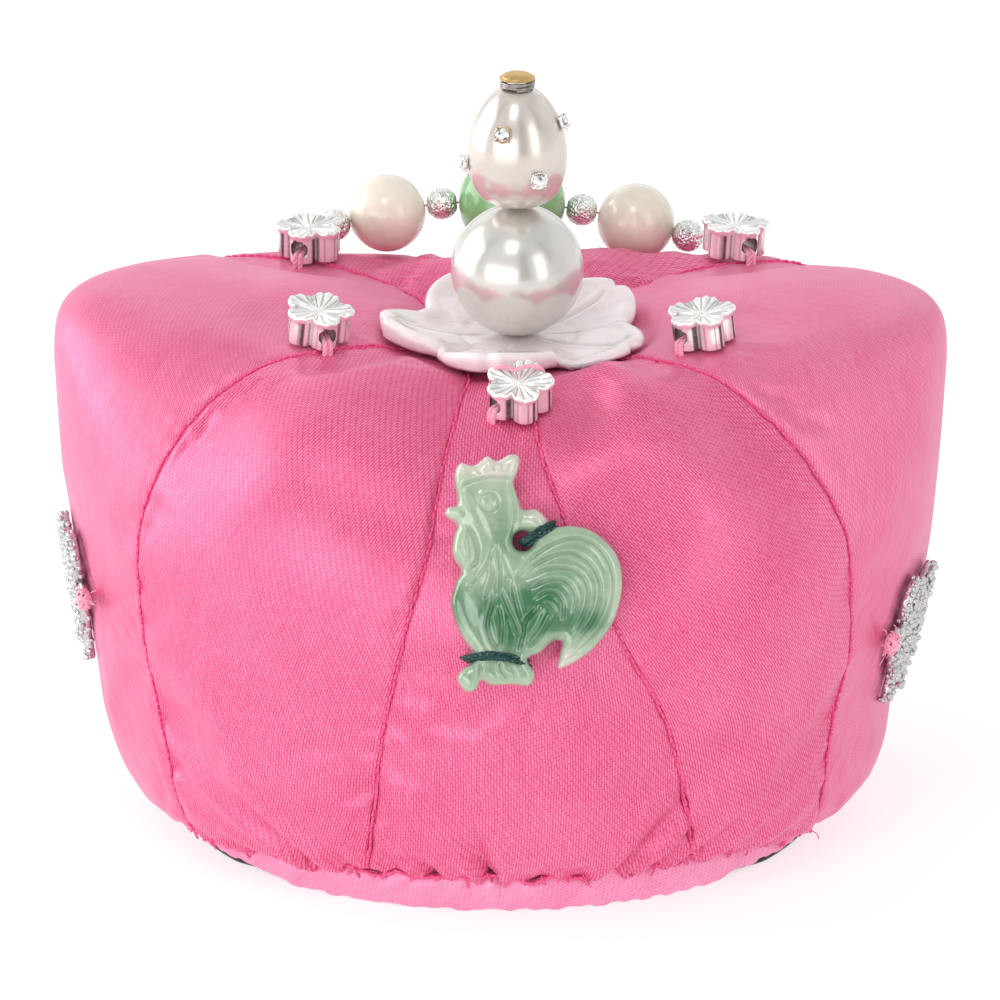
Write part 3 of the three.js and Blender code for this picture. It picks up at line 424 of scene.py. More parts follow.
def lining_point(share, angle, grow):
    """Outer face of the lining: a superellipse dome above a straight wall."""
    share, angle = np.broadcast_arrays(np.asarray(share, float), np.asarray(angle, float))
    radius = LINING["radius"] + grow
    turn = np.clip(share / LINING["dome_share"], 0, 1) * math.pi / 2
    power = 2 / LINING["power"]
    down = np.clip((share - LINING["dome_share"]) / (1 - LINING["dome_share"]), 0, 1)
    top = LINING["wall_top"]
    height = top + (LINING["dome_top"] + grow - top) * np.maximum(np.cos(turn), 0) ** power
    height = np.where(down > 0, top + (LINING["rim_thickness"] + GAP - top) * down, height)
    return around(radius * np.sin(turn) ** power, angle, height)


def side_share(angle, starts, ends):
    """How much of the lining's rim shows at an angle, 1 at the two sides."""
    away = np.abs(signed(angle))
    return smoothstep(*starts, away) * (1 - smoothstep(*ends, away))


# Meshes

def grid_quads(rows, columns, round_rows=False, round_columns=False):
    """Quads between neighbouring rows and columns, joined round where asked."""
    i, j = np.meshgrid(np.arange(rows - (not round_rows)), np.arange(columns - (not round_columns)),
                       indexing="ij")
    below = (i + 1) % rows * columns
    here = i * columns
    after = (j + 1) % columns
    return np.stack([here + j, below + j, below + after, here + after], -1).reshape(-1, 4)


def make_piece(name, points, faces, material, uv=None, smooth=True, attributes=None):
    """A mesh object in metres, in the frame's axes, that rides on the root body."""
    mesh = bpy.data.meshes.new(name)
    mesh.from_pydata((np.asarray(points).reshape(-1, 3) + SHIFT) * MM, [], faces)
    mesh.polygons.foreach_set("use_smooth", np.full(len(mesh.polygons), smooth))
    corners = np.zeros(len(mesh.loops), int)
    mesh.loops.foreach_get("vertex_index", corners)
    if uv is not None:
        layer = mesh.uv_layers.new(name="Cloth")
        layer.data.foreach_set("uv", np.asarray(uv).reshape(-1, 2)[corners].ravel())
    for label, values in (attributes or {}).items():
        layer = mesh.attributes.new(label, "FLOAT", "POINT")
        layer.data.foreach_set("value", np.asarray(values, float).ravel())
    mesh.materials.append(material)
    mesh.validate()
    mesh.update()
    piece = bpy.data.objects.new(name, mesh)
    bpy.context.scene.collection.objects.link(piece)
    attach(piece, "root")
    return piece


def stand_for(node, slot, name, points, faces, material, **details):
    """A piece shown in place of a frame node, which is hidden. The slot is not used."""
    piece = make_piece(name, points, faces, material, **details)
    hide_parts(node)
    return piece


def outward(points, faces):
    """Faces of one closed part, all turned over if they look inwards."""
    place = np.asarray(points).reshape(-1, 3)
    fans = np.array([(face[0], *pair) for face in faces for pair in zip(face[1:-1], face[2:])])
    a, b, c = (place[fans[:, k]] - place[0] for k in range(3))
    volume = (a * np.cross(b, c)).sum()
    return [face[::-1] for face in faces] if volume < 0 else faces


def ring_stack(points):
    """Closed rings, one a row, joined to the next, with a fan at each end to close it."""
    rows, columns = points.shape[:2]
    quads = grid_quads(rows, columns, round_columns=True)
    first, last = rows * columns, rows * columns + 1
    j = np.arange(columns)
    after = (j + 1) % columns
    start = (rows - 1) * columns
    fans = np.concatenate([np.stack([np.full(columns, first), j, after], -1),
                           np.stack([start + j, np.full(columns, last), start + after], -1)])
    ends = np.stack([points[0].mean(0), points[-1].mean(0)])
    points = np.concatenate([points.reshape(-1, 3), ends])
    return points, outward(points, quads.tolist() + fans.tolist())


def closed_ring(points):
    """A grid that is closed both round its rows and round its columns."""
    rows, columns = points.shape[:2]
    return points.reshape(-1, 3), outward(points, grid_quads(rows, columns, True, True).tolist())


def turned(radii, heights, segments):
    """Points of a turned surface: rows of a profile carried round +Z."""
    angles = np.arange(segments) / segments * 360
    return around(np.reshape(radii, (-1, 1)), angles[None], np.reshape(heights, (-1, 1)))


def rings_along(path, side, up, radius, sides):
    """Rings of points round a path, each on its own side and up axes."""
    cosine, sine = circle(sides)
    ring = cosine[None, :, None] * side[:, None] + sine[None, :, None] * up[:, None]
    return path[:, None] + ring * np.reshape(radius, (-1, 1, 1))


def join(*parts):
    """Several (points, faces) as one."""
    points = []
    faces = []
    total = 0
    for part_points, part_faces in parts:
        part_points = np.asarray(part_points).reshape(-1, 3)
        points.append(part_points)
        faces += [[corner + total for corner in face] for face in part_faces]
        total += len(part_points)
    return np.concatenate(points), faces


def tube(path, radius, sides=8):
    """A round tube with closed, rounded ends along a path of points.

    Each ring stands square to the path, on two axes that are carried along it without twisting.
    """
    path = np.asarray(path, float)
    radius = np.broadcast_to(np.asarray(radius, float), len(path)).copy()
    tangent = unit(np.gradient(path, axis=0))
    side = np.zeros_like(path)
    guess = np.array([0, 0, 1.0]) if abs(tangent[0, 2]) < 0.9 else np.array([1.0, 0, 0])
    side[0] = unit(np.cross(tangent[0], guess))
    for k in range(1, len(path)):
        side[k] = unit(side[k - 1] - tangent[k] * (side[k - 1] @ tangent[k]))
    points, faces = ring_stack(rings_along(path, side, np.cross(tangent, side), radius, sides))
    points[-2] = path[0] - tangent[0] * radius[0] * 0.6
    points[-1] = path[-1] + tangent[-1] * radius[-1] * 0.6
    return points, faces


def closed_loop(path, radius, sides):
    """A round wire along a closed path of points."""
    tangent = unit(np.roll(path, -1, axis=0) - np.roll(path, 1, axis=0))
    flat = unit(np.cross(path - path.mean(0), tangent).mean(0))
    side = unit(np.cross(tangent, flat))
    return closed_ring(rings_along(path, side, np.cross(side, tangent), radius, sides))


def twisted(path, radius, pitch, samples_per_pitch=10, turn=0.0):
    """A thread of three plies, each a tube that winds round the path once in every pitch."""
    lengths = measured(path)
    count = max(int(lengths[-1] / pitch * samples_per_pitch), 8)
    along = np.linspace(0, lengths[-1], count)
    middle = read_path(along, lengths, path)
    tangent = unit(np.gradient(middle, axis=0))
    side = unit(np.cross(tangent, (0.3, 0.2, 1.0)))
    up = np.cross(tangent, side)
    parts = []
    for ply in range(3):
        wind = 2 * math.pi * (along / pitch + ply / 3) + turn
        offset = (np.cos(wind)[:, None] * side + np.sin(wind)[:, None] * up) * radius * 0.5
        parts.append(tube(middle + offset, radius * 0.56, 6))
    return join(*parts)


def ball(radius, segments, rows, bore=0.0):
    """Points of a sphere about +Z, its two ends dimpled where a thread goes in."""
    turn = (np.arange(rows) + 0.5) / rows * math.pi
    radii = radius * np.sin(turn)
    heights = radius * np.cos(turn)
    if bore:
        heights -= np.sign(heights) * bore * np.exp(-(radii / bore) ** 2)
    return turned(radii, heights, segments)


def placed(points, origin, axes):
    """Points given on a piece's own axes, moved to its place."""
    return np.asarray(points) @ np.asarray(axes) + origin


# Materials

class Number:
    """A shader socket: + - * / and ** on it add Math nodes to its tree."""

    def __init__(self, tree, socket):
        self.tree = tree
        self.socket = socket

    def worked_out(self, operation, *values):
        """A Math node of that operation, fed by the values."""
        node = self.tree.nodes.new("ShaderNodeMath")
        node.operation = operation
        for place, value in enumerate(values):
            feed(self.tree, node.inputs[place], value)
        return Number(self.tree, node.outputs[0])

    def math(self, operation, *others):
        """A Math node of that operation, fed by this socket and the others."""
        return self.worked_out(operation, self, *others)

    def __add__(self, other):
        return self.math("ADD", other)

    def __sub__(self, other):
        return self.math("SUBTRACT", other)

    def __mul__(self, other):
        return self.math("MULTIPLY", other)

    def __truediv__(self, other):
        return self.math("DIVIDE", other)

    def __pow__(self, other):
        return self.math("POWER", other)

    def __rsub__(self, other):
        return self.worked_out("SUBTRACT", other, self)

    __radd__ = __add__
    __rmul__ = __mul__


def feed(tree, socket, value):
    """Links a socket to another, or sets it to a plain value."""
    if isinstance(value, Number):
        tree.links.new(value.socket, socket)
    elif hasattr(value, "__len__") and len(value) == 3 and socket.type == "RGBA":
        socket.default_value = (*value, 1.0)
    else:
        socket.default_value = value


class Finish:
    """A material of one Principled shader, and the nodes that feed it."""

    def __init__(self, name, **constants):
        self.material = bpy.data.materials.new(name)
        self.material.use_nodes = True
        self.tree = self.material.node_tree
        self.shader = self.tree.nodes["Principled BSDF"]
        for label, value in constants.items():
            feed(self.tree, self.shader.inputs[label.replace("_", " ")], value)

    def node(self, kind, settings=None, inputs=None, output=0):
        """Adds a node: its settings first, then the values or links of its sockets."""
        node = self.tree.nodes.new(kind)
        for label, value in (settings or {}).items():
            setattr(node, label, value)
        for label, value in (inputs or {}).items():
            feed(self.tree, node.inputs[label], value)
        return Number(self.tree, node.outputs[output])

    def place(self):
        """Object coordinates in metres."""
        return self.node("ShaderNodeTexCoord", output="Object")

    def split(self, vector):
        """The three numbers of a vector."""
        node = self.tree.nodes.new("ShaderNodeSeparateXYZ")
        feed(self.tree, node.inputs[0], vector)
        return [Number(self.tree, node.outputs[k]) for k in range(3)]

    def vector(self, x, y, z):
        """A vector of three numbers."""
        return self.node("ShaderNodeCombineXYZ", inputs={"X": x, "Y": y, "Z": z})

    def noise(self, place, size_mm, detail=3.0, roughness=0.5, distortion=0.0):
        """Noise of about that size, from 0 to 1."""
        return self.node("ShaderNodeTexNoise", inputs={
            "Vector": place, "Scale": 1 / (size_mm * MM), "Detail": detail,
            "Roughness": roughness, "Distortion": distortion})

    def ramp(self, value, *stops):
        """A colour ramp through (position, colour) stops."""
        ramp = self.node("ShaderNodeValToRGB", inputs={"Fac": value})
        elements = ramp.socket.node.color_ramp.elements
        while len(elements) < len(stops):
            elements.new(0.5)
        for element, (position, colour) in zip(elements, stops):
            element.position = position
            element.color = (*colour, 1.0)
        return ramp

    def attribute(self, name):
        """A number stored on the piece's own points."""
        return self.node("ShaderNodeAttribute", {"attribute_name": name}, output="Fac")

    def bump(self, height, distance_mm, strength=1.0):
        """Bumps of a height from 0 to 1, that many millimetres deep, into the shader."""
        normal = self.node("ShaderNodeBump", inputs={
            "Height": height, "Distance": distance_mm * MM, "Strength": strength})
        self.set("Normal", normal)

    def set(self, label, value):
        """Feeds a socket of the shader."""
        feed(self.tree, self.shader.inputs[label], value)


def between(value, low, high):
    """A number held between two limits."""
    return value.math("MAXIMUM", low).math("MINIMUM", high)


def lighter(colour, share):
    """A colour moved that share of the way to white, or to black where share is below 0."""
    target = 1.0 if share > 0 else 0.0
    return tuple(c + (target - c) * abs(share) for c in colour)


def satin_finish(name, colour, grain, weave=1.0, pitch=0.42):
    """Satin: long staggered floats in the thread's direction, pale on top and dark between.

    Grain is the turn of the threads in degrees, weave how strongly the floats show, and pitch
    the distance between two threads in millimetres.
    """
    finish = Finish(name, Specular_IOR_Level=1.0, Specular_Tint=(1.0, 0.72, 0.92), Anisotropic=0.4,
                    Sheen_Weight=0.15, Sheen_Roughness=0.35, Sheen_Tint=(1.0, 0.62, 0.92))
    u, v, _ = finish.split(finish.node("ShaderNodeUVMap", {"uv_map": "Cloth"}))
    turn = math.radians(grain)
    wander = (finish.noise(finish.place(), 6.0, 2.0) - 0.5) * (0.6 * MM)
    a = u * math.cos(turn) - v * math.sin(turn) + wander
    b = u * math.sin(turn) + v * math.cos(turn)
    column = a / (pitch * MM)
    float_across = column.math("FRACT") * 2 - 1
    float_along = b / (2.9 * pitch * MM) + column.math("FLOOR") * 0.37
    float_along = float_along.math("FRACT") * 2 - 1
    dash = between((1 - float_across ** 2) * (1 - float_along ** 6 * 0.8) * 1.15, 0.0, 1.0)
    cloud = finish.noise(finish.place(), 14.0, 2.0)
    uneven = finish.noise(finish.vector(a * 3.0, b, 0.0), 1.3, 2.0, 0.6)
    slub = finish.noise(finish.vector(a * 8, b * 0.7, 0.0), 5.0, 3.0, 0.6)
    tone = ((dash - 0.5) * (0.62 * weave) + (uneven - 0.5) * (0.5 * weave)
            + (cloud - 0.5) * 0.28 + (slub - 0.5) * 0.3)
    red, green, blue = colour
    finish.set("Base Color", finish.ramp(
        tone + 0.5, (0.1, (red * 0.8, green * 0.33, blue * 0.5)), (0.5, colour),
        (0.9, (min(red * 1.14, 1.0), green * 1.9 + 0.09, blue * 1.6 + 0.09))))
    finish.set("Metallic", 0.1 + between(0.45 - tone, 0.0, 1.0) * (0.5 * weave))
    finish.set("Roughness", 0.42 - dash * (0.07 * weave))
    finish.bump(dash * weave + slub * 0.6, 0.02, 0.6)
    return finish.material


def thread_finish(name, colour):
    """Spun thread: fine fibres as soft noise, a little sheen."""
    finish = Finish(name, Roughness=0.55, Sheen_Weight=0.12, Sheen_Roughness=0.4,
                    Specular_IOR_Level=0.35, Sheen_Tint=lighter(colour, 0.4))
    fibre = finish.noise(finish.place(), 0.35, 3.0, 0.6)
    finish.set("Base Color", finish.ramp(
        fibre, (0.3, lighter(colour, -0.25)), (0.55, colour), (0.8, lighter(colour, 0.3))))
    finish.bump(fibre, 0.08)
    return finish.material


def lining_finish(name, colour):
    """Black lining cloth: a plain weave over Object coordinates."""
    finish = Finish(name, Roughness=0.85, Sheen_Weight=0.25, Specular_IOR_Level=0.25)
    x, y, z = finish.split(finish.place())
    weave = ((x + y) / (0.5 * MM)).math("SINE") * ((y - x + z * 2) / (0.5 * MM)).math("SINE")
    fluff = finish.noise(finish.place(), 1.4, 3.0)
    finish.set("Base Color", finish.ramp(
        fluff, (0.25, lighter(colour, -0.3)), (0.8, lighter(colour, 0.06))))
    finish.bump(weave * 0.3 + fluff, 0.12)
    return finish.material


def nacre_finish(name, colour, cloud_mm):
    """Pearl: a soft mirror-like ground with faint clouds, under a thin clear skin."""
    finish = Finish(name, Metallic=0.5, Specular_IOR_Level=0.6, Coat_Weight=0.35,
                    Coat_Roughness=0.04)
    cloud = finish.noise(finish.place(), cloud_mm, 2.0)
    finish.set("Base Color", finish.ramp(
        cloud, (0.3, lighter(colour, -0.07)), (0.7, lighter(colour, 0.1))))
    pits = finish.noise(finish.place(), 3.5, 2.0, 0.5)
    finish.set("Roughness", 0.19 + pits * 0.06)
    finish.bump(pits, 0.005, 0.2)
    return finish.material


def jade_finish(name, colour, radius_mm, weight, speck):
    """Polished jade: light sinks in, with soft clouds and small flecks, under a glossy skin."""
    finish = Finish(name, Subsurface_Weight=weight, Subsurface_Scale=radius_mm * MM,
                    Subsurface_Radius=(1.0, 0.9, 0.75), Specular_IOR_Level=0.55, Coat_Weight=0.3,
                    Coat_Roughness=0.05)
    cloud = finish.noise(finish.place(), 5.0, 3.0, 0.55, 0.6)
    fleck = finish.noise(finish.place(), 0.8, 4.0, 0.65)
    tone = cloud * 0.7 + fleck * 0.3 * speck
    finish.set("Base Color", finish.ramp(
        tone, (0.2, lighter(colour, -0.18)), (0.48, colour), (0.75, lighter(colour, 0.25))))
    finish.set("Roughness", 0.12 + fleck * 0.1)
    finish.bump(fleck, 0.012, 0.5)
    return finish.material


def silver_finish(name, colour, roughness, grain_mm, depth_mm):
    """Cast silver: bright metal with small dents and a slightly dull grain."""
    finish = Finish(name, Metallic=1.0)
    grain = finish.noise(finish.place(), grain_mm, 3.0, 0.6)
    finish.set("Base Color", finish.ramp(
        grain, (0.25, lighter(colour, -0.12)), (0.6, colour), (0.85, lighter(colour, 0.4))))
    finish.set("Roughness", roughness * 0.6 + grain * roughness * 0.8)
    finish.bump(grain, depth_mm)
    return finish.material


def rooster_finish(name, pale, green):
    """Carved jade: grey-cream on the comb, green that pools in the belly and the tail's foot."""
    finish = Finish(name, Subsurface_Weight=0.35, Subsurface_Scale=1.6 * MM,
                    Subsurface_Radius=(0.8, 1.0, 0.75), Specular_IOR_Level=0.8, Coat_Weight=0.8,
                    Coat_Roughness=0.04)
    tone = finish.attribute("Tone")
    cloud = finish.noise(finish.place(), 3.2, 4.0, 0.6, 0.8)
    fleck = finish.noise(finish.place(), 0.7, 3.0, 0.6)
    depth = tone + (cloud - 0.5) * 0.34 + (fleck - 0.5) * 0.1
    finish.set("Base Color", finish.ramp(
        depth, (0.0, pale), (0.3, (0.35, 0.46, 0.32)), (0.6, lighter(green, 0.08)), (0.9, green)))
    finish.set("Roughness", 0.07 + fleck * 0.1)
    finish.bump(fleck, 0.012, 0.6)
    return finish.material


# Panels of the padded cap

def simulated_swell(puff):
    """How far the satin moves when it is inflated as cloth, held at its seams, hem and middle.

    Returns the offsets of a coarse grid over the whole cap: rows from middle to hem, then for
    each panel its columns from seam to seam.
    """
    columns = SWELL_COLUMNS
    outs = np.linspace(CENTRE_START, 1, SWELL_ROWS)
    acrosses = np.concatenate([panel + np.arange(columns) / columns for panel in range(6)])
    points = satin_surface(outs[:, None], acrosses[None], puff)
    offsets = np.zeros_like(points)
    still = np.zeros(points.shape[:2], bool)
    still[:, ::columns] = True
    still[:2] = True
    still[-3:] = True
    offsets = inflated(points, still) - points
    length = np.linalg.norm(offsets, axis=-1, keepdims=True)
    offsets *= np.minimum(1, SWELL_LIMIT / np.maximum(length, 1e-6))
    panels = [np.take(offsets, range(panel * columns, (panel + 1) * columns + 1), axis=1,
                      mode="wrap") for panel in range(6)]
    return outs, panels


def inflated(points, still):
    """Points of a sheet after some frames of Cloth, with pressure from inside and no gravity."""
    rows, columns = points.shape[:2]
    mesh = bpy.data.meshes.new("satin_under_pressure")
    faces = grid_quads(rows, columns, round_columns=True)
    mesh.from_pydata(points.reshape(-1, 3) * MM, [], faces.tolist())
    mesh.update()
    sheet = bpy.data.objects.new("satin_under_pressure", mesh)
    scene = bpy.context.scene
    scene.collection.objects.link(sheet)
    held = sheet.vertex_groups.new(name="held")
    held.add(np.flatnonzero(still.ravel()).tolist(), 1.0, "REPLACE")
    cloth = sheet.modifiers.new("cloth", "CLOTH")
    cloth.collision_settings.use_collision = False
    settings = cloth.settings
    settings.quality = 6
    settings.mass = 0.2
    settings.tension_stiffness = 12
    settings.compression_stiffness = 6
    settings.bending_stiffness = 0.15
    settings.use_pressure = True
    settings.uniform_pressure_force = 4
    settings.shrink_min = -0.012
    settings.vertex_group_mass = "held"
    settings.effector_weights.gravity = 0
    first = scene.frame_current
    for number in range(1, SWELL_FRAMES + 1):
        scene.frame_set(number)
    result = sheet.evaluated_get(bpy.context.evaluated_depsgraph_get())
    moved = np.empty(rows * columns * 3)
    result.data.vertices.foreach_get("co", moved)
    scene.frame_set(first)
    bpy.data.objects.remove(sheet)
    bpy.data.meshes.remove(mesh)
    return moved.reshape(points.shape) / MM


def grid_normals(points):
    """Outward unit normals of a grid of points, from its two neighbours' directions."""
    along = np.gradient(points, axis=0)
    sideways = np.gradient(points, axis=1)
    normals = unit(np.cross(along, sideways))
    flip = np.sign((normals * (points - [0, 0, PADDING_HEART])).sum(-1).mean())
    return normals * (1 if flip >= 0 else -1)


def knot_creases(points):
    """Depth of the short creases that the knots of the side charms pull into the satin."""
    depth = np.zeros(points.shape[:2])
    for _, _, out, across, front_side, roll in SIDE_CHARMS:
        seat, normal = seat_at(out, across, SIDE_SINK)
        axes = axes_on(normal, (0, 0, 1.0), roll)
        away = points - placed((-front_side * KNOT_PLACE[0], KNOT_PLACE[1], 0.0), seat, axes)
        reach = np.sqrt((away ** 2).sum(-1))
        bearing = np.arctan2(away @ axes[1], away @ axes[0])
        rays = np.clip(np.cos(bearing * 5 + 0.7), 0, 1) ** 3
        rays += 0.6 * np.clip(np.cos(bearing * 8), 0, 1) ** 4
        depth += 0.6 * rays * np.exp(-reach / 5.0) * smoothstep(0.8, 2.5, reach)
    return depth


def gather_depth(angle, above):
    """Depth of the gathers at an angle and a height above the hem.

    Each is a narrow valley that leans as it rises, between two low ridges, and fades upwards.
    """
    bearing = signed(angle)
    depth = np.zeros_like(above)
    for at, lean, deep, width, length in GATHERS:
        away = (bearing - at - lean * above) / width / (1 + above / length)
        valley = np.exp(-away ** 2) - 0.5 * np.exp(-(np.abs(away) - 1.9) ** 2)
        depth += deep * valley * np.exp(-above / length)
    return depth + ripple(bearing, 5, 9.0, 3.5) * 0.12 * np.exp(-above / 3.5)


def pressed_in(points, seats):
    """Satin flattened under everything that is sewn on it, and how far each point is pressed.

    A point is pushed down by the smooth maximum of 0 and its height above a seat's plane, fading
    out round the seat.
    """
    pressed = np.zeros(points.shape[:2])
    for seat, direction, footprint in seats:
        away = points - seat
        height = away @ direction
        distance = np.sqrt(np.maximum((away ** 2).sum(-1) - height ** 2, 0))
        fade = PRESS_FADE * footprint / CHARM_FOOTPRINT
        near = (1 - smoothstep(footprint, footprint + fade, distance)) * (np.abs(height) < 14)
        lifted = height + GAP
        push = 0.5 * (lifted + np.sqrt(lifted ** 2 + PRESS_SOFTNESS))
        points = points - direction * (push * near)[..., None]
        pressed = np.maximum(pressed, near)
    return points, pressed


def seam_relief(panel, from_left, along, cap):
    """Puckers beside the two seams of a panel, less the valleys of the seams themselves.

    A seam's waves are the same on both of its sides, and rise and fade with d e^(-d) beside it.
    """
    relief = np.zeros(from_left.shape)
    from_right = from_left[:, -1:] - from_left
    for distance, edge, seam in ((from_left, along[:, :1], panel),
                                 (from_right, along[:, -1:], (panel + 1) % 6)):
        waves = ripple(edge, SEAM_SEED + seam, 8.0, 3.5)
        relief += cap.pucker * waves * (distance / 1.4) * np.exp(1 - distance / 1.4)
        relief -= cap.seam_pinch * np.exp(-distance / 0.8)
    return relief


def flower_foot(distance):
    """Height of the flower's cupped underside at a distance from its middle."""
    return FLOWER_FOOT + FLOWER_RISE * (distance / FLOWER_RADIUS) ** 2.2


def below_flower(points):
    """Heights of the satin, kept under the flower by a smooth minimum with its underside."""
    distance = np.hypot(points[..., 0] - FINIAL_AT[0], points[..., 1] - FINIAL_AT[1])
    under = flower_foot(distance) + 9 * smoothstep(19, FLOWER_DIP, distance) - GAP
    own = points[..., 2]
    mixed = np.clip(0.5 + (under - own) / FLOWER_BLEND, 0, 1)
    dented = under * (1 - mixed) + own * mixed - FLOWER_BLEND / 2 * mixed * (1 - mixed)
    return np.where((distance < FLOWER_DIP) & (own > CROWN_DIP - 2), dented, own)


def panel_rows():
    """Shares of the way out of a panel's rows, as a column, closest together at the shoulder."""
    crown = np.linspace(CENTRE_START, SHOULDER_END, ROWS_TO_SHOULDER, endpoint=False)
    return np.concatenate([crown, np.linspace(SHOULDER_END, 1, ROWS_TO_HEM)])[:, None]


def panel_grid(panel, columns, swell_outs, swell, seats, cap):
    """Fine grid of a panel's satin, its lengths along the cloth, and its angles.

    The cap's surface, moved by the swell, then pressed in, puckered, gathered and creased along
    its normals, and dipped under the flower.
    """
    out = panel_rows()
    share = np.linspace(0, 1, columns)
    share = share - 0.06 * np.sin(2 * math.pi * share) / (2 * math.pi)
    across = panel + np.clip(share, 1e-5, 1 - 1e-5)[None]
    points = satin_surface(out, across, cap.puff)
    rows = spline_weights(len(swell_outs), np.interp(out[:, 0], swell_outs, range(len(swell_outs))))
    reads = spline_weights(swell.shape[1], share * (swell.shape[1] - 1))
    points = points + np.einsum("ri,ijk,cj->rck", rows, swell, reads)
    normals = grid_normals(points)
    angle = angle_at(out, across)
    above = np.maximum(points[..., 2] - section_at(across)[..., 5], 0)
    points, pressed = pressed_in(points, seats)
    from_left = measured(points, 1)
    along = measured(points, 0)
    lift = seam_relief(panel, from_left, along, cap) * (1 - pressed) - knot_creases(points)
    lift -= np.where(out > SHOULDER_END, gather_depth(angle, above), 0)
    lift *= smoothstep(CENTRE_START, 0.16, out)
    points = points + normals * lift[..., None]
    points[..., 2] = below_flower(points)
    middle = columns // 2
    flat = np.stack([from_left - from_left[:, middle:middle + 1], along[ROWS_TO_SHOULDER] - along], -1)
    return points, flat * MM, angle


def panel_piece(name, grain, shape, cap):
    """One padded panel: its satin, closed round its edges by a sheet against the lining."""
    points, flat, angle = shape
    turn = np.linspace(1, 0, INNER_COLUMNS)
    inner = lining_point(panel_rows(), angle[:, :1] + (angle[:, -1:] - angle[:, :1]) * turn, GAP)
    inner[..., 2] = np.minimum(inner[..., 2], np.maximum(points[..., 2].min(1), 1.5)[:, None] - 0.5)
    vertices, faces = ring_stack(np.concatenate([points, inner], 1)[:, ::-1])
    uv = np.concatenate([flat, np.zeros((len(points), INNER_COLUMNS, 2))], 1)[:, ::-1]
    uv = np.concatenate([uv.reshape(-1, 2), np.zeros((2, 2))])
    # The side panels take a paler satin colour, a painted highlight where they catch the light
    if name in LOBES:
        satin = satin_finish(f"{name}_satin", cap.side_painted_highlight_colour, grain, 0.6,
                             cap.fine_thread)
    else:
        satin = satin_finish(f"{name}_satin", cap.satin_colour, grain, 1.0,
                             cap.satin_thread)
    piece = stand_for(name, "satin_pale" if name in LOBES else "satin", f"{name}_cloth", vertices,
                      faces, satin, uv=uv)


# Hem, lining and stitches

def hem_height_at(angle):
    """Height of the satin's hem at an angle."""
    across = np.linspace(0, 6, 601)
    turns = angle_at(1.0, np.clip(across, 0, 5.9999))
    return np.interp((angle - turns[0]) % 360, turns - turns[0], section_at(across)[:, 5])


def hem_wave(angle):
    """Rise of the hem band's top edge where the gathers pull the satin up, in millimetres."""
    bearing = signed(angle)
    wave = 0.35 * ripple(bearing, 21, 14.0, 5.0, 6)
    for at, _, deep, width, _ in GATHERS:
        away = np.abs(bearing - at) / (width * 2.4)
        wave = wave + 0.7 * min(deep, 1.5) * np.exp(-away ** 1.4)
    return wave


def hem_surface():
    """Closed section of the hem band at every angle, whose rows go round the section.

    Also gives the angles and the height of the band's top edge.
    """
    angle = np.arange(HEM_COLUMNS) / HEM_COLUMNS * 360
    lump = ripple(angle, 31, 12.0, 4.0, 8)
    foot = HEM["side_lift"] * side_share(angle, *HEM_SHOW) + 0.2 * (1 + np.clip(lump, -1, 1))
    top = hem_height_at(angle) - 0.25 + hem_wave(angle)
    swell = 0.5 + 0.28 * ripple(angle, 32, 14.0, 4.0, 8)
    rows = []
    for share in np.linspace(0, 1, 15):
        bulge = swell * math.sin(math.pi * share) ** 0.8
        edge = 0.35 * (abs(2 * share - 1) ** 6)
        rows.append((HEM["outer"] - edge + bulge, foot + (top - foot) * share))
    inner_top = np.minimum(np.maximum(top - 0.8, foot + 0.2), 4.0)
    rows += [(47.3, (top + inner_top) / 2), (HEM["inner"], inner_top), (HEM["inner"], foot)]
    return np.stack([around(radius, angle, height) for radius, height in rows]), angle, top


def running_line(chance, edge):
    """Ragged running stitches just under the hem's edge, each arched out of the satin."""
    sunk = np.array([-0.35, 0, 0.12, 0.16, 0.2, 0.16, 0.12, 0, -0.35])
    slant = np.linspace(-0.12, 0.12, 9)
    parts = []
    at = 0.0
    while at < 359:
        long = chance.uniform(1.6, 3.4)
        line = np.linspace(at, at + long, 9)
        height = edge(line) + chance.uniform(-0.15, 0.2) - 0.3 + slant * chance.choice([-1, 1])
        parts.append(tube(around(48.95 + sunk, line, height), 0.27, 6))
        at += long * chance.uniform(0.6, 0.95)
    return parts


def edge_stitches(chance, edge):
    """Short slanted stitches from the hem's edge down the band, alone or as an upside-down V."""
    parts = []
    at = 0.0
    while at < 356:
        at += chance.uniform(2.6, 6.5)
        height = edge(at)
        apex = around(49.15, at, height + chance.uniform(0.1, 0.5))
        for side in ((-1, 1), (-1,), (1,))[chance.integers(3)]:
            turn = at + side * chance.uniform(0.5, 1.4)
            foot = around(48.9, turn, height - chance.uniform(0.9, 1.8))
            middle = (apex + foot) / 2 + around(0.25, at, 0.0)
            parts.append(tube(through([apex, middle, foot], 7), 0.2, 6))
    return parts


def loose_ends(chance, edge):
    """Thin ends of thread that stick out from the hem's edge and hang."""
    parts = []
    for at in (-58.0, -36.5, -21.0, 14.0, 24.5, 31.0, 47.5, 71.0):
        start = around(49.1, at, edge(at))
        drift = chance.uniform(-1.6, 1.6)
        tip = start + around(1.0, at, 0.0) + [drift, 0, chance.uniform(-1.8, -0.6)]
        middle = (start + tip) / 2 + around(0.4, at, 0.2)
        parts.append(tube(through([start, middle, tip], 12), 0.09, 5))
    return parts


def hem_stitches(angle, top):
    """Thread along the hem: a running line, slanted stitches over the edge and loose ends."""
    chance = np.random.default_rng(41)
    turns = np.append(angle, angle[0] + 360)
    tops = np.append(top, top[0])

    def edge(at):
        """Height of the band's top edge at an angle."""
        return np.interp(at % 360, turns, tops)

    return join(*running_line(chance, edge), *edge_stitches(chance, edge), *loose_ends(chance, edge))


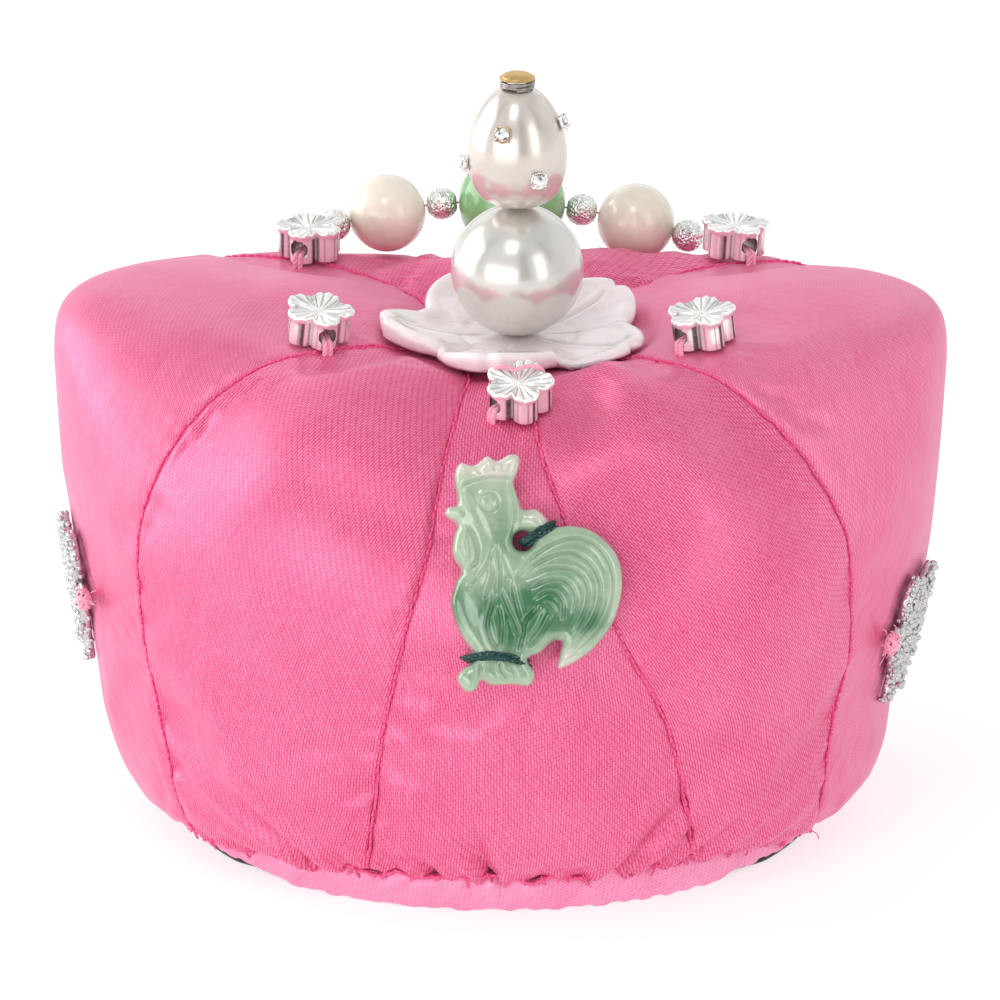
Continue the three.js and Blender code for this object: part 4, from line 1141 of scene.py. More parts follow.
def seam_stitches(seams):
    """Short arched stitches down every seam, over a thread that fills its valley."""
    chance = np.random.default_rng(51)
    arch = 0.24 + np.array([-0.16, 0.08, 0.15, 0.15, 0.08, -0.16])[:, None]
    parts = []
    for path in seams:
        lengths = measured(path)
        proud = unit(path - [0, 0, PADDING_HEART])
        aside = unit(np.cross(path[-1] - path[0], proud[0]))
        parts.append(tube(path - proud * 0.18, 0.3, 6))
        at = 2.0
        while at < lengths[-1] - 2:
            long = chance.uniform(0.85, 1.25)
            along = np.linspace(at, at + long, 6)
            stitch = read_path(along, lengths, path) + read_path(along, lengths, proud) * arch
            stitch = stitch + aside * chance.uniform(-0.16, 0.16)
            parts.append(tube(stitch, chance.uniform(0.18, 0.25), 6))
            at += long + chance.uniform(0.02, 0.3)
    return join(*parts)


def lining_surface():
    """Section of the lining from the outer top, down, round the folded rim and up inside."""
    angle = np.arange(240) * 1.5
    shares = np.linspace(0.01, 1, 20) * LINING["dome_share"]
    wall = LINING["radius"]
    thick = LINING["rim_thickness"]
    reach = LINING["rim_radius"] + LINING["side_reach"] * side_share(angle, *RIM_SHOW)
    fold = [(wall, thick + 1.2), (wall + 0.5, thick), (reach - 0.3, thick), (reach, thick - 0.25),
            (reach, 0.25), (reach - 0.3, 0.0), (wall, 0.0), (wall - 0.8, 0.1),
            (wall - LINING["thickness"], 0.5)]
    return np.stack([lining_point(share, angle, 0) for share in shares]
                    + [around(radius, angle, height) for radius, height in fold]
                    + [lining_point(share, angle, -LINING["thickness"]) for share in shares[::-1]])


# Jade flower, pearls and the finial's top

def flower_surface():
    """Five overlapping petals as one closed grid: rows from the bore over the lip and back.

    Each petal is a shallow dish that rises towards its edge, with a thick rounded lip, a notch at
    the middle of the edge, a line carved from the notch inwards, and one side folded over its
    neighbour.
    """
    angle = np.arange(FLOWER_COLUMNS) / FLOWER_COLUMNS * 360 + 0.09
    from_middle = (angle + 36) % 72 - 36
    side = from_middle / 36
    fold = side * (1 - np.exp(-((36 - np.abs(from_middle)) / 3.2) ** 2))
    reach = 21.0 - 4.9 * np.abs(side) ** 1.7 - 1.0 * np.exp(-(from_middle / 3.2) ** 2)
    petal = np.round((angle - from_middle) / 72).astype(int) % 5
    lift = np.array([3.7, 2.2, 3.9, 3.9, 3.9])[petal] * (1 - 0.3 * side ** 2)
    share = np.concatenate([np.linspace(0, 0.82, 30, endpoint=False), np.linspace(0.82, 1, 30)])
    radius = 1.1 + (reach - 1.1) * share[:, None]
    away = reach - radius
    near_edge = smoothstep(6, 15, radius)
    line = radius * np.sin(np.radians(from_middle))
    inside = smoothstep(4, 8, radius) * smoothstep(1.4, 3.0, away)
    upper = FLOWER_FOOT + 1.8 + lift * (radius / FLOWER_RADIUS) ** 2.4 + 0.8 * fold * near_edge
    upper += 0.45 * np.exp(-((away - 1.7) / 1.4) ** 2) * near_edge
    upper -= 0.32 * np.exp(-(line / 0.34) ** 2) * inside
    upper += 0.1 * np.exp(-((np.abs(line) - 0.95) / 0.6) ** 2) * inside
    upper += 0.2 * np.exp(-((np.abs(from_middle) - 33) / 2.4) ** 2) * near_edge
    upper -= 1.1 * rounded_edge(away, 1.0)
    upper -= 0.16 * np.exp(-((radius - 8.6) / 0.5) ** 2)
    upper += 0.5 * np.exp(-(radius / 4.5) ** 2)
    lower_share = np.concatenate([np.linspace(1, 0.88, 12)[1:], np.linspace(0.86, 0, 14)])[:, None]
    lower_radius = 1.1 + (reach - 1.1) * lower_share
    away = reach - lower_radius
    lower = 0.1 + flower_foot(np.minimum(lower_radius, 19.5))
    lower += 1.5 / 1.9 * rounded_edge(away, 1.9)
    lower += 0.3 * fold * smoothstep(10, 16, lower_radius)
    radius = np.concatenate([radius, lower_radius])
    height = np.concatenate([upper, lower])
    return around(radius, angle - 13, height) + [*FINIAL_AT, 0]


# Heights of the drop pearl's profile above its foot, and the radius at each
DROP_HEIGHTS = (-0.28, 0.02, 0.5, 1.2, 2.2, 3.4, 4.8, 6.4,
                8.1, 9.8, 11.6, 13.4, 15.1, 16.5, 17.6, 18.2)
DROP_RADII = (0.02, 2.3, 3.9, 5.1, 6.05, 6.75, 7.2, 7.47,
              7.53, 7.4, 7.05, 6.45, 5.55, 4.55, 3.5, 2.6)


def drop_radius(height):
    """Radius of the drop pearl at a height above its foot, narrowing to a blunt tip."""
    return read_table(DROP_HEIGHTS, DROP_RADII, np.asarray(height, float))


def drop_surface():
    """Points of the drop pearl, with a rolled ring round the hole where the wire leaves."""
    turn = np.linspace(0, math.pi, 110)[1:]
    height = 9.24 * (1 - np.cos(turn)) - 0.28
    radius = drop_radius(height)
    top = ((2.2, 18.32), (1.9, 18.34), (1.6, 18.2), (1.2, 17.9), (0.4, 17.8))
    radius = np.concatenate([radius, [r for r, _ in top]])
    height = np.concatenate([height, [h for _, h in top]])
    return turned(radius, height + DROP_FOOT, 128) + [*FINIAL_AT, 0]


def coil_path():
    """Wire's turns on top of the drop pearl: a flat spiral that climbs and closes in."""
    turn = np.linspace(0, 2 * math.pi * 4.3, 260)
    radius = 2.4 + 0.16 * ripple(turn, 91, 7.0, 3.0, 5)
    height = 115.2 + 1.0 * turn / turn[-1] + 0.1 * ripple(turn, 92, 6.0, 2.6, 5)
    return np.stack([radius * np.sin(turn), -radius * np.cos(turn), height], -1) + [*FINIAL_AT, 0]


def dome_surface():
    """Small dome with a rolled foot."""
    profile = np.array(((0.02, 116.5), (2.2, 116.5), (2.55, 116.52), (2.7, 116.6), (2.66, 116.7),
                        (2.5, 116.74), (2.4, 116.8), (2.2, 117.0), (1.8, 117.2), (1.2, 117.34),
                        (0.6, 117.39), (0.05, 117.4)))
    smooth = through(profile, 48)
    return turned(np.maximum(smooth[:, 0], 0.02), smooth[:, 1], 64) + [*FINIAL_AT, 0]


def stone(radius, table, foot, girdle, height, sides=8):
    """A cut stone: pointed pavilion, thin girdle, bevelled crown and flat table."""
    turn = np.arange(sides) / sides * 360
    half = turn + 180 / sides
    rows = np.stack([around(0.15, turn, foot), around(radius, turn, girdle - 0.12),
                     around(radius, turn, girdle), around(table, half, height)])
    points = rows.reshape(-1, 3)
    j = np.arange(sides)
    after = (j + 1) % sides
    upper = 2 * sides
    top = 3 * sides
    faces = grid_quads(3, sides, round_columns=True).tolist()
    faces += np.stack([upper + j, top + j, upper + after], -1).tolist()
    faces += np.stack([upper + after, top + j, top + after], -1).tolist()
    faces += [(top + j)[::-1].tolist(), j.tolist()]
    return points, outward(points, faces)


def cup(radius, height):
    """Metal cup of a stone with four prongs bent over its edge."""
    wall = turned((0.1, radius * 0.75, radius * 1.02, radius * 1.12, radius * 1.06, radius * 0.96),
                  (0, 0, 0.15, height * 0.55, height * 0.62, height * 0.45), 40)
    parts = [ring_stack(wall)]
    for quarter in range(4):
        turn = 45 + 90 * quarter
        path = [around(radius * 1.05, turn, 0.1), around(radius * 1.14, turn, height * 0.5),
                around(radius * 1.05, turn, height * 0.85), around(radius * 0.78, turn, height * 0.98)]
        parts.append(tube(through(path, 12), np.linspace(0.2, 0.15, 12), 8))
    return join(*parts)


# Silver flower charms

def charm_surface():
    """Five petals round a boss, each top ribbed and turned up, over smooth straight walls.

    Gives the points, and painted light for each point: painted shade in the rib grooves and the dips
    between petals, and painted reflections as dark streaks down the walls.
    """
    columns = 200
    angle = np.arange(columns) / columns * 360
    from_middle = (angle + 36) % 72 - 36
    sine = 3 * np.sin(np.radians(from_middle))
    reach = 3 * np.cos(np.radians(from_middle)) + np.sqrt(1.95 ** 2 - sine ** 2)
    fold = 1 - np.abs(2 * ((from_middle / 17.0 + 0.5) % 1) - 1)
    ribs = 0.42 * (fold ** 0.7 - 0.55)
    # Painted reflections: dark streaks down the walls, standing for what the walls mirror
    painted_reflection_streak = np.clip(0.75 + 0.9 * ripple(angle, 73, 60.0, 9.0, 12), 0.08, 1)
    wall = ((0.02, 0.0, 0), (0.5, 0.0, 0), (0.95, 0.0, 0), (0.985, 0.06, 0), (1.0, 0.2, 0),
            (1.0, 1.2, 0), (1.0, 2.4, 0), (1.0, 3.3, 0), (1.0, 3.75, 0), (1.03, 4.0, 0.1),
            (1.07, 4.25, 0.3), (1.085, 4.5, 0.7), (1.07, 4.75, 1), (1.02, 4.95, 1))
    rows = [around(reach * share, angle, height + ribs * rib) for share, height, rib in wall]
    shade = [painted_reflection_streak if share > 0.9 and height < 3.9 else np.full(columns, 0.8)
             for share, height, _ in wall]
    for share in np.linspace(0.97, 0.02, 20):
        height = 4.98 - 0.8 * (1 - share) ** 0.8
        height += 0.55 * math.exp(-(share / 0.15) ** 2)
        strength = float(smoothstep(0.1, 0.4, share))
        pinch = -0.7 * np.exp(-((np.abs(from_middle) - 36) / 6) ** 2) * strength
        rows.append(around(reach * share, angle, height + ribs * strength + pinch * share))
        # Painted shade in the rib grooves and in the dips between petals
        groove = (1 - fold) ** 3 * strength
        shade.append(np.clip(0.95 - 0.85 * groove + pinch * 0.6, 0.05, 1))
    return np.stack(rows), np.stack(shade)


def bored(piece, low, high, radius):
    """Cuts a round bore between two points out of a finished piece."""
    points, faces = tube(np.linspace(low, high, 4), radius, 32)
    mesh = bpy.data.meshes.new("bore")
    mesh.from_pydata((points + SHIFT) * MM, [], faces)
    cutter = bpy.data.objects.new("bore", mesh)
    bpy.context.scene.collection.objects.link(cutter)
    cut = piece.modifiers.new("bore", "BOOLEAN")
    cut.operation = "DIFFERENCE"
    cut.solver = "EXACT"
    cut.object = cutter
    depsgraph = bpy.context.evaluated_depsgraph_get()
    finished = bpy.data.meshes.new_from_object(piece.evaluated_get(depsgraph))
    piece.modifiers.clear()
    plain = piece.data
    piece.data = finished
    bpy.data.meshes.remove(plain)
    bpy.data.objects.remove(cutter)
    bpy.data.meshes.remove(mesh)


# Plates cut to an outline: the rooster and the side charms

def nearest_on(outline, x, y):
    """Distance to a closed outline, the nearest place on it, and whether a point lies inside."""
    start = outline
    end = np.roll(outline, -1, axis=0)
    step = end - start
    size = (step ** 2).sum(1)
    best = np.full(x.shape, np.inf)
    near = np.zeros((*x.shape, 2))
    inside = np.zeros(x.shape, bool)
    for k in range(len(outline)):
        t = np.clip(((x - start[k, 0]) * step[k, 0] + (y - start[k, 1]) * step[k, 1]) / size[k], 0, 1)
        px = start[k, 0] + t * step[k, 0]
        py = start[k, 1] + t * step[k, 1]
        away = (x - px) ** 2 + (y - py) ** 2
        closer = away < best
        best = np.where(closer, away, best)
        near[closer] = np.stack([px, py], -1)[closer]
        crosses = (start[k, 1] > y) != (end[k, 1] > y)
        slope = step[k, 0] / (step[k, 1] if step[k, 1] else 1e-12)
        inside ^= crosses & (x < start[k, 0] + (y - start[k, 1]) * slope)
    return np.sqrt(best), near, inside


def cut_plate(outlines, pitch, top, bottom):
    """A closed plate on a square grid, its border moved onto the outlines.

    The first outline is the edge and the rest are holes; top and bottom give the height of a
    face from x, y and the distance inwards from the nearest edge.
    """
    low = outlines[0].min(0) - pitch
    high = outlines[0].max(0) + pitch
    xs = np.arange(low[0], high[0] + pitch, pitch)
    ys = np.arange(low[1], high[1] + pitch, pitch)
    x, y = np.meshgrid(xs, ys, indexing="ij")
    distance, near, inside = nearest_on(outlines[0], x, y)
    for hole in outlines[1:]:
        gap, place, within = nearest_on(hole, x, y)
        inside &= ~within
        closer = gap < distance
        distance = np.where(closer, gap, distance)
        near[closer] = place[closer]
    inwards = np.where(inside, distance, -distance)
    quads = grid_quads(*x.shape)
    corner = inwards.ravel()[quads]
    kept = quads[(corner.mean(1) > 0) & (corner.min(1) > -0.6 * pitch)]
    edges = np.stack([kept, np.roll(kept, -1, axis=1)], -1).reshape(-1, 2)
    keys = np.sort(edges, axis=1)
    code = keys[:, 0] * x.size + keys[:, 1]
    _, first, count = np.unique(code, return_index=True, return_counts=True)
    border = edges[first[count == 1]]
    rim = np.unique(border)
    flat = np.stack([x.ravel(), y.ravel()], -1)
    flat[rim] = near.reshape(-1, 2)[rim]
    depth = np.maximum(inwards.ravel(), 0)
    depth[rim] = 0
    used = np.unique(kept)
    number = np.full(x.size, -1)
    number[used] = np.arange(len(used))
    flat = flat[used]
    depth = depth[used]
    upper = np.column_stack([flat, top(flat[:, 0], flat[:, 1], depth)])
    lower = np.column_stack([flat, bottom(flat[:, 0], flat[:, 1], depth)])
    kept = number[kept]
    border = number[border]
    total = len(used)
    walls = np.stack([border[:, 0], border[:, 0] + total, border[:, 1] + total, border[:, 1]], -1)
    faces = np.concatenate([kept, kept[:, ::-1] + total, walls])
    return np.concatenate([upper, lower]), faces.tolist()


def rounded_edge(depth, radius):
    """Drop of a face below its top, from a quarter circle along the edge."""
    share = np.clip(depth / radius, 0, 1)
    return radius * (1 - np.sqrt(np.maximum(1 - (1 - share) ** 2, 0)))


def line_distance(path, x, y, samples=60):
    """Distance from points to a smooth curve through a few places, and the share along it."""
    curve = through(path, samples)
    best = np.full(x.shape, np.inf)
    where = np.zeros(x.shape)
    for k in range(samples - 1):
        step = curve[k + 1] - curve[k]
        t = np.clip(((x - curve[k, 0]) * step[0] + (y - curve[k, 1]) * step[1]) / (step @ step), 0, 1)
        away = np.hypot(x - curve[k, 0] - t * step[0], y - curve[k, 1] - t * step[1])
        where = np.where(away < best, (k + t) / (samples - 1), where)
        best = np.minimum(best, away)
    return best, where


ROOSTER_OUTLINE = (
    (-11, 11.3), (-11.3, 14.8), (-10.4, 16.6), (-8.4, 16.2), (-6.4, 17.5), (-4.9, 16.8), (-2.9, 17.7),
    (-1.5, 17.2), (-1.9, 14.9), (-2.5, 13.4), (-1.8, 10.6), (-1.2, 9.4), (0.6, 9.4), (2.1, 8.2),
    (3, 6.7), (5.6, 6.8), (8.4, 6.2), (10.8, 4.5), (12.6, 2), (13.2, -1.4), (12.7, -5), (11.2, -8.6),
    (8.4, -11.8), (5.2, -13.9), (3.1, -14.4), (3.5, -12.3), (3.9, -10.6), (2.6, -10.4), (0.6, -12),
    (-1.4, -13), (-0.4, -15.2), (-1.2, -16.9), (-3.8, -16.7), (-6.8, -16.7), (-8.4, -16),
    (-9.2, -17.3), (-10.8, -17.5), (-12, -15.6), (-11.2, -14.2), (-9.5, -13.2), (-9.3, -12),
    (-11.4, -8.5), (-12.5, -4.4), (-11.7, -1.2), (-10.8, 0.5), (-12, 3), (-11.7, 5.7), (-11.2, 7.4),
    (-12.9, 8.9), (-12.5, 10), (-11.3, 10.2),
)
# Lines carved into the rooster: width, depth, then the places that the line goes through
ROOSTER_CUTS = (
    (0.34, 0.5, ((-10.6, 13.1), (-8.9, 13.8), (-6.5, 14.3), (-4, 14.3), (-2.4, 14))),
    (0.26, 0.35, ((-8.4, 16.3), (-8.0, 15.5), (-7.4, 14.7))),
    (0.26, 0.35, ((-5.4, 17), (-5.6, 16), (-5.2, 15.1))),
    (0.22, 0.3, ((-4.0, 17.2), (-4.3, 16.3), (-4.1, 15.4))),
    (0.3, 0.35, ((-10.8, 9.9), (-10.4, 9.2), (-10.5, 8.4))),
    (0.16, 0.3, ((-13, 9.4), (-11.9, 9.5), (-10.9, 9.7))),
    (0.36, 0.6, ((-9.9, 7.2), (-9.0, 5.6), (-8.4, 3.6), (-8.7, 1.6), (-9.9, 0.7))),
    (0.25, 0.3, ((-10.6, 6.2), (-10.9, 4), (-10.4, 2), (-9.7, 3), (-9.7, 5), (-10.3, 6.4))),
    (0.3, 0.4, ((-3.2, 13.3), (-2.7, 11), (-2.6, 8.6), (-2.9, 6.3), (-3.5, 4.6))),
    (0.3, 0.45, ((-6.2, 3.6), (-7.1, 1.2), (-8.6, -0.8), (-10, -2.2))),
    (0.28, 0.45, ((-5.5, 4.1), (-5.1, 1), (-5.2, -1.6), (-5.4, -2.7))),
    (0.28, 0.4, ((-4.8, 2.8), (-3.9, 0.2), (-3.3, -1))),
    (0.28, 0.4, ((-6.6, 2.4), (-6.3, 0), (-7, -2.4), (-7.7, -4))),
    (0.32, 0.5, ((-3.4, -1.4), (-3.1, -3.8), (-2.5, -6.4), (-2.1, -8))),
    (0.3, 0.45, ((-5.1, -2.6), (-4.1, -5.3), (-3.0, -7.8), (-2.6, -9.6))),
    (0.34, 0.55, ((-3.3, -1.1), (-0.9, 1.6), (2.4, 3.8), (6.2, 4.8), (9.4, 3.6), (11.3, 0.7),
                  (11.8, -2.7), (10.8, -6.6), (8.9, -9.5), (6.4, -11.8), (4, -13.4))),
    (0.34, 0.5, ((-2.9, -1.5), (-0.4, 0.6), (2.5, 2.1), (5.5, 2.6), (8.1, 1.2), (9.6, -1.5),
                 (9.6, -4.7), (8.4, -7.6), (6.6, -9.8), (4.7, -12))),
    (0.34, 0.5, ((-1.9, -1.5), (1.1, 0), (4, 0.4), (6.4, -0.3), (7.8, -2.2), (7.8, -4.7), (6.9, -7.1),
                 (5.4, -9.3))),
    (0.32, 0.45, ((-0.9, -2.7), (1.5, -1.5), (4, -1.3), (5.5, -2.5), (6.1, -4.4), (5.5, -6.6))),
    (0.3, 0.45, ((-0.2, -4.2), (1.6, -3.2), (3.3, -3.5), (4.2, -5.2), (3.9, -7.6))),
    (0.26, 0.35, ((1.1, -4.7), (2.3, -5.2), (2.8, -6.6), (1.3, -9))),
    (0.22, 0.3, ((2.8, 5.2), (6.4, 6), (10.1, 4.1), (12.2, 1.2), (12.5, -2.2), (11.5, -6.4),
                 (9.6, -9.5), (7.4, -11.7))),
    (0.34, 0.6, ((-6.1, -3.5), (-7.2, -7.1), (-7.2, -8.8), (-6.5, -10.8), (-5.5, -11.5))),
    (0.3, 0.5, ((-5.5, -5.2), (-5.2, -8), (-5.5, -11.2))),
    (0.34, 0.6, ((0.3, -5.4), (-1.6, -7.4), (-2, -9.3), (-2.8, -11.9))),
    (0.3, 0.5, ((2.3, -6.6), (0.6, -9.5), (-1.4, -11.5))),
    (0.34, 0.5, ((-8.4, -13.2), (-8.6, -14.6), (-8.8, -16.2))),
    (0.3, 0.45, ((-5.6, -13.4), (-5.4, -14.8), (-4.4, -16))),
    (0.3, 0.4, ((-4, -14.2), (-3.4, -15.4), (-3.4, -16.6))),
)
# Soft swellings of the rooster: x, y, half width, half height, turn, height
ROOSTER_SWELLS = (
    (-7.1, 11.0, 1.25, 1.25, 0, 0.35), (-7.1, 11.0, 0.45, 0.45, 0, 0.4),
    (-10.2, 4.0, 0.9, 2.4, 4, 0.35), (-8.6, -3.4, 1.9, 4.2, 8, 0.45), (0.4, 7.6, 1.5, 1.2, 0, 0.35),
    (-6.4, -8.6, 0.6, 2.4, 4, 0.4), (-0.6, -8, 0.7, 2.8, -34, 0.45), (-8.4, 8.0, 1.0, 4.2, 24, 0.3),
)


def rooster_top(x, y, depth):
    """Height of the rooster's face: a rounded edge, soft swellings and the carved lines."""
    height = 4.5 - rounded_edge(depth, 1.5)
    for at_x, at_y, wide, tall, turn, rise in ROOSTER_SWELLS:
        c = math.cos(math.radians(turn))
        s = math.sin(math.radians(turn))
        u = ((x - at_x) * c + (y - at_y) * s) / wide
        v = ((y - at_y) * c - (x - at_x) * s) / tall
        height = height + rise * np.exp(-(u ** 2 + v ** 2) ** 1.5)
    eye = np.hypot(x + 6.4, y - 10.5)
    height = height - 0.34 * np.exp(-((eye - 1.4) / 0.18) ** 2) + 0.2 * np.exp(-(eye / 0.9) ** 2)
    fade = smoothstep(0.2, 1.2, depth)
    for width, deep, path in ROOSTER_CUTS:
        away, where = line_distance(path, x, y)
        width = 0.8 * width
        ends = np.minimum(1, 6 * np.minimum(where, 1 - where) + 0.15)
        ridge = 0.25 * np.exp(-((away - 2.3 * width) / (1.2 * width)) ** 2)
        line = np.exp(-(away / width) ** 2) - ridge
        height = height - 0.75 * deep * line * ends * (0.35 + 0.65 * fade)
    return np.minimum(height, 4.95)


def rooster_tone(x, y):
    """How green the rooster's jade is at a place, from 0, cream, to 1."""
    spots = ((-5.5, -6.2, 4.5, 3.4, 0.5), (1.2, -3.8, 3.2, 2.2, 0.42), (1.6, -7.6, 3.2, 2.2, 0.42),
             (7.6, -7.8, 3.0, 2.2, 0.36), (-2.8, -10, 2.4, 2.6, 0.35), (-11.8, -4.5, 1.6, 4.0, 0.3),
             (-4.2, 5.6, 2.0, 3.0, 0.16), (-7, -14.8, 3.4, 1.8, 0.15), (4, 0, 9, 6, 0.1),
             (4.2, -13.2, 2.2, 1.6, -0.25), (-6.2, 16.2, 6, 2.2, -0.4), (0.6, 8.2, 1.8, 1.4, -0.25),
             (-12.4, 9.2, 1.4, 1.6, -0.15), (12.5, -1, 1.4, 7, -0.12))
    tone = np.full(x.shape, 0.3)
    for at_x, at_y, wide, tall, amount in spots:
        tone = tone + amount * np.exp(-(((x - at_x) / wide) ** 2 + ((y - at_y) / tall) ** 2))
    return np.clip(tone, 0, 1)


SIDE_OUTLINE = ((0, 8), (1.5, 8.9), (4, 10), (6.8, 9.4), (8.3, 7), (8, 4.3), (6.8, 2), (7.9, 0),
                (8, -2.6), (6.4, -4.9), (5, -6.2), (5, -9), (4.3, -10.4), (3.2, -9.2), (2.4, -6.2),
                (1, -5.4), (0, -5.2))
SIDE_HOLES = ((3.3, 6.8, 1.3), (6.2, 5.6, 1.1), (2.9, 3.4, 1.1), (3, -0.4, 1.2), (5.7, -1.4, 1.1))


def side_charm():
    """Openwork plate with two eyelets, its edges and holes lined with small granules."""
    chance = np.random.default_rng(61)
    half = np.array(SIDE_OUTLINE, float)
    mirrored = half[1:-1][::-1] * [-1, 1]
    edge = through(np.concatenate([half, mirrored]), 220, closed=True)
    cosines, sines = circle(28)
    ring = np.stack([cosines, sines], -1)
    holes = [ring * radius + [side * x, y] for x, y, radius in SIDE_HOLES for side in (-1, 1)]
    plate = cut_plate([edge, *holes], 0.2, lambda x, y, d: 1.5 - rounded_edge(d, 0.5),
                      lambda x, y, d: rounded_edge(d, 0.3))
    parts = [plate]
    seats = [(x, y, chance.uniform(0.2, 1.5)) for x, y in np.repeat(edge[::4], 2, axis=0) * 0.99]
    for hole in holes:
        seats += [(x, y, 1.45) for x, y in (hole[::4] - hole.mean(0)) * 1.28 + hole.mean(0)]
    loose = chance.uniform((-8, -10), (8, 9.5), (260, 2))
    distance, _, inside = nearest_on(edge, loose[:, 0], loose[:, 1])
    for hole in holes:
        inside &= np.hypot(*(loose - hole.mean(0)).T) > 1.2
    seats += [(x, y, 1.5) for x, y in loose[inside & (distance > 0.4)]]
    small, small_faces = ring_stack(ball(1.0, 8, 5))
    for x, y, z in seats:
        size = chance.uniform(0.3, 0.55)
        parts.append((small * size + [x, y, z + chance.uniform(-0.1, 0.15)], small_faces))
    for side in (-1, 1):
        loop = np.stack([side * (8.9 + 1.1 * cosines), 1.6 + 1.1 * sines, np.full(28, 0.55)], -1)
        parts.append(closed_loop(loop, 0.4, 10))
    return join(*parts)


def sewn_knot(seed):
    """A knot of many turns of thread wound over each other, with a tuft of loose ends."""
    chance = np.random.default_rng(seed)
    parts = []
    cosines, sines = circle(20)
    for _ in range(16):
        axes = axes_on(chance.normal(size=3), (0.2, 0.3, 1.0))
        size = chance.uniform(0.95, 1.25)
        aside = np.full(20, chance.uniform(-0.3, 0.3))
        loop = np.stack([cosines * size, sines * size, aside], -1)
        parts.append(closed_loop(loop @ axes, 0.2, 6))
    for _ in range(14):
        start = unit(chance.normal(size=3)) * 1.1
        tip = start * chance.uniform(1.5, 2.1) + chance.normal(size=3) * 0.5
        parts.append(tube(through([start, (start + tip) / 2 + 0.25, tip], 8), 0.07, 5))
    points, faces = join(*parts)
    return points * [1.3, 1.3, 0.85], faces


# Sizes and colours that can be changed

def size_property(label, text, default):
    """A length in millimetres."""
    return bpy.props.FloatProperty(name=label, description=f"{text}, in millimetres",
                                   default=default, min=0.0, max=100.0, precision=2)


def colour_property(label, text, default):
    """A linear colour."""
    return bpy.props.FloatVectorProperty(name=label, description=text, default=default,
                                         subtype="COLOR", size=3, min=0.0, max=1.0)


class CORONET_PG_cap(bpy.types.PropertyGroup):
    """Sizes and colours of the padded cap."""

    puff: size_property("Puff", "Height of the padding between two seams", 0.85)
    pucker: size_property("Pucker", "Height of the puckers along a seam", 0.12)
    seam_pinch: size_property("Seam pinch", "Depth of the stitched seam line", 0.28)
    satin_thread: size_property("Thread", "Distance between two threads of the satin", 0.42)
    fine_thread: size_property("Fine thread", "Distance at the two sides and on the hem", 0.36)
    satin_colour: colour_property("Satin", "Satin of the front and back panels", (0.735, 0.071, 0.2))
    # The side panels' satin: the front's dye painted paler, a painted highlight for the light the
    # sides catch
    side_painted_highlight_colour: colour_property("Side satin", "Satin of the two side panels", (0.755, 0.125, 0.262))
    hem_colour: colour_property("Hem", "Satin of the hem band", (0.84, 0.22, 0.4))
    lining_colour: colour_property("Lining", "Cloth of the lining", (0.008, 0.008, 0.009))
    stitch_colour: colour_property("Stitches", "Thread of the seams", (0.9, 0.1, 0.3))


class CORONET_PG_ornaments(bpy.types.PropertyGroup):
    """Colours of the jade, pearls, silver and threads."""

    pearl_colour: colour_property("Pearl", "Round pearl", (0.68, 0.665, 0.62))
    drop_colour: colour_property("Drop pearl", "Drop pearl", (0.67, 0.61, 0.555))
    flower_colour: colour_property("Flower jade", "Jade of the flower", (0.9, 0.81, 0.82))
    cream_colour: colour_property("Cream jade", "Jade of the two pale beads", (0.84, 0.77, 0.66))
    green_colour: colour_property("Green jade", "Jade of the middle bead", (0.24, 0.5, 0.22))
    rooster_pale: colour_property("Rooster, pale", "Palest jade of the rooster", (0.61, 0.58, 0.5))
    rooster_green: colour_property("Rooster, green", "Greenest jade of the rooster",
                                   (0.01, 0.15, 0.035))
    silver_colour: colour_property("Silver", "Silver of the charms and balls", (0.98, 0.98, 0.96))
    gold_colour: colour_property("Gold", "Small dome on the finial", (0.66, 0.46, 0.19))
    thread_colour: colour_property("Pink thread", "Thread of the charms and knots", (0.98, 0.42, 0.56))
    tie_colour: colour_property("Teal thread", "Thread that ties the rooster", (0.002, 0.05, 0.045))


class CORONET_OT_panels(bpy.types.Operator):
    """Six padded satin panels, swollen by cloth simulation between their seams"""

    bl_idname = "coronet.panels"
    bl_label = "Satin panels"

    def execute(self, context):
        cap = context.scene.coronet_cap
        outs, swells = simulated_swell(cap.puff)
        seats = pressing_seats()
        edges = []
        for panel, (name, columns, grain) in enumerate(PANELS):
            shape = panel_grid(panel, columns, outs, swells[panel], seats, cap)
            panel_piece(name, grain, shape, cap)
            edges.append((shape[0][:, 0], shape[0][:, -1]))
        seams = [(edges[panel][0] + edges[panel - 1][1]) / 2 for panel in range(6)]
        thread = thread_finish("seam_thread", cap.stitch_colour)
        piece = make_piece("seam_stitches", *seam_stitches(seams), thread)
        return {"FINISHED"}


class CORONET_OT_edges(bpy.types.Operator):
    """Hem band with its stitches, and the black lining with its folded rim"""

    bl_idname = "coronet.edges"
    bl_label = "Hem and lining"

    def execute(self, context):
        cap = context.scene.coronet_cap
        points, angle, top = hem_surface()
        flat = np.stack([np.broadcast_to(np.radians(angle) * 48 * MM, points.shape[:2]),
                         points[..., 2] * MM], -1)
        half = len(angle) // 2
        flat = np.concatenate([flat[:, half:] - [math.pi * 96 * MM, 0], flat[:, :half]], 1)
        vertices, faces = closed_ring(np.roll(points, -half, axis=1))
        satin = satin_finish("hem_satin", cap.hem_colour, 52.0, 0.55, cap.fine_thread)
        stand_for("hem_band", "hem", "hem_cloth", vertices, faces, satin, uv=flat)
        thread = thread_finish("hem_thread", cap.stitch_colour)
        stitches = make_piece("hem_stitches", *hem_stitches(angle, top), thread)
        cloth = lining_finish("lining_cloth", cap.lining_colour)
        stand_for("lining", "lining", "lining_dome", *ring_stack(lining_surface()), cloth)
        return {"FINISHED"}


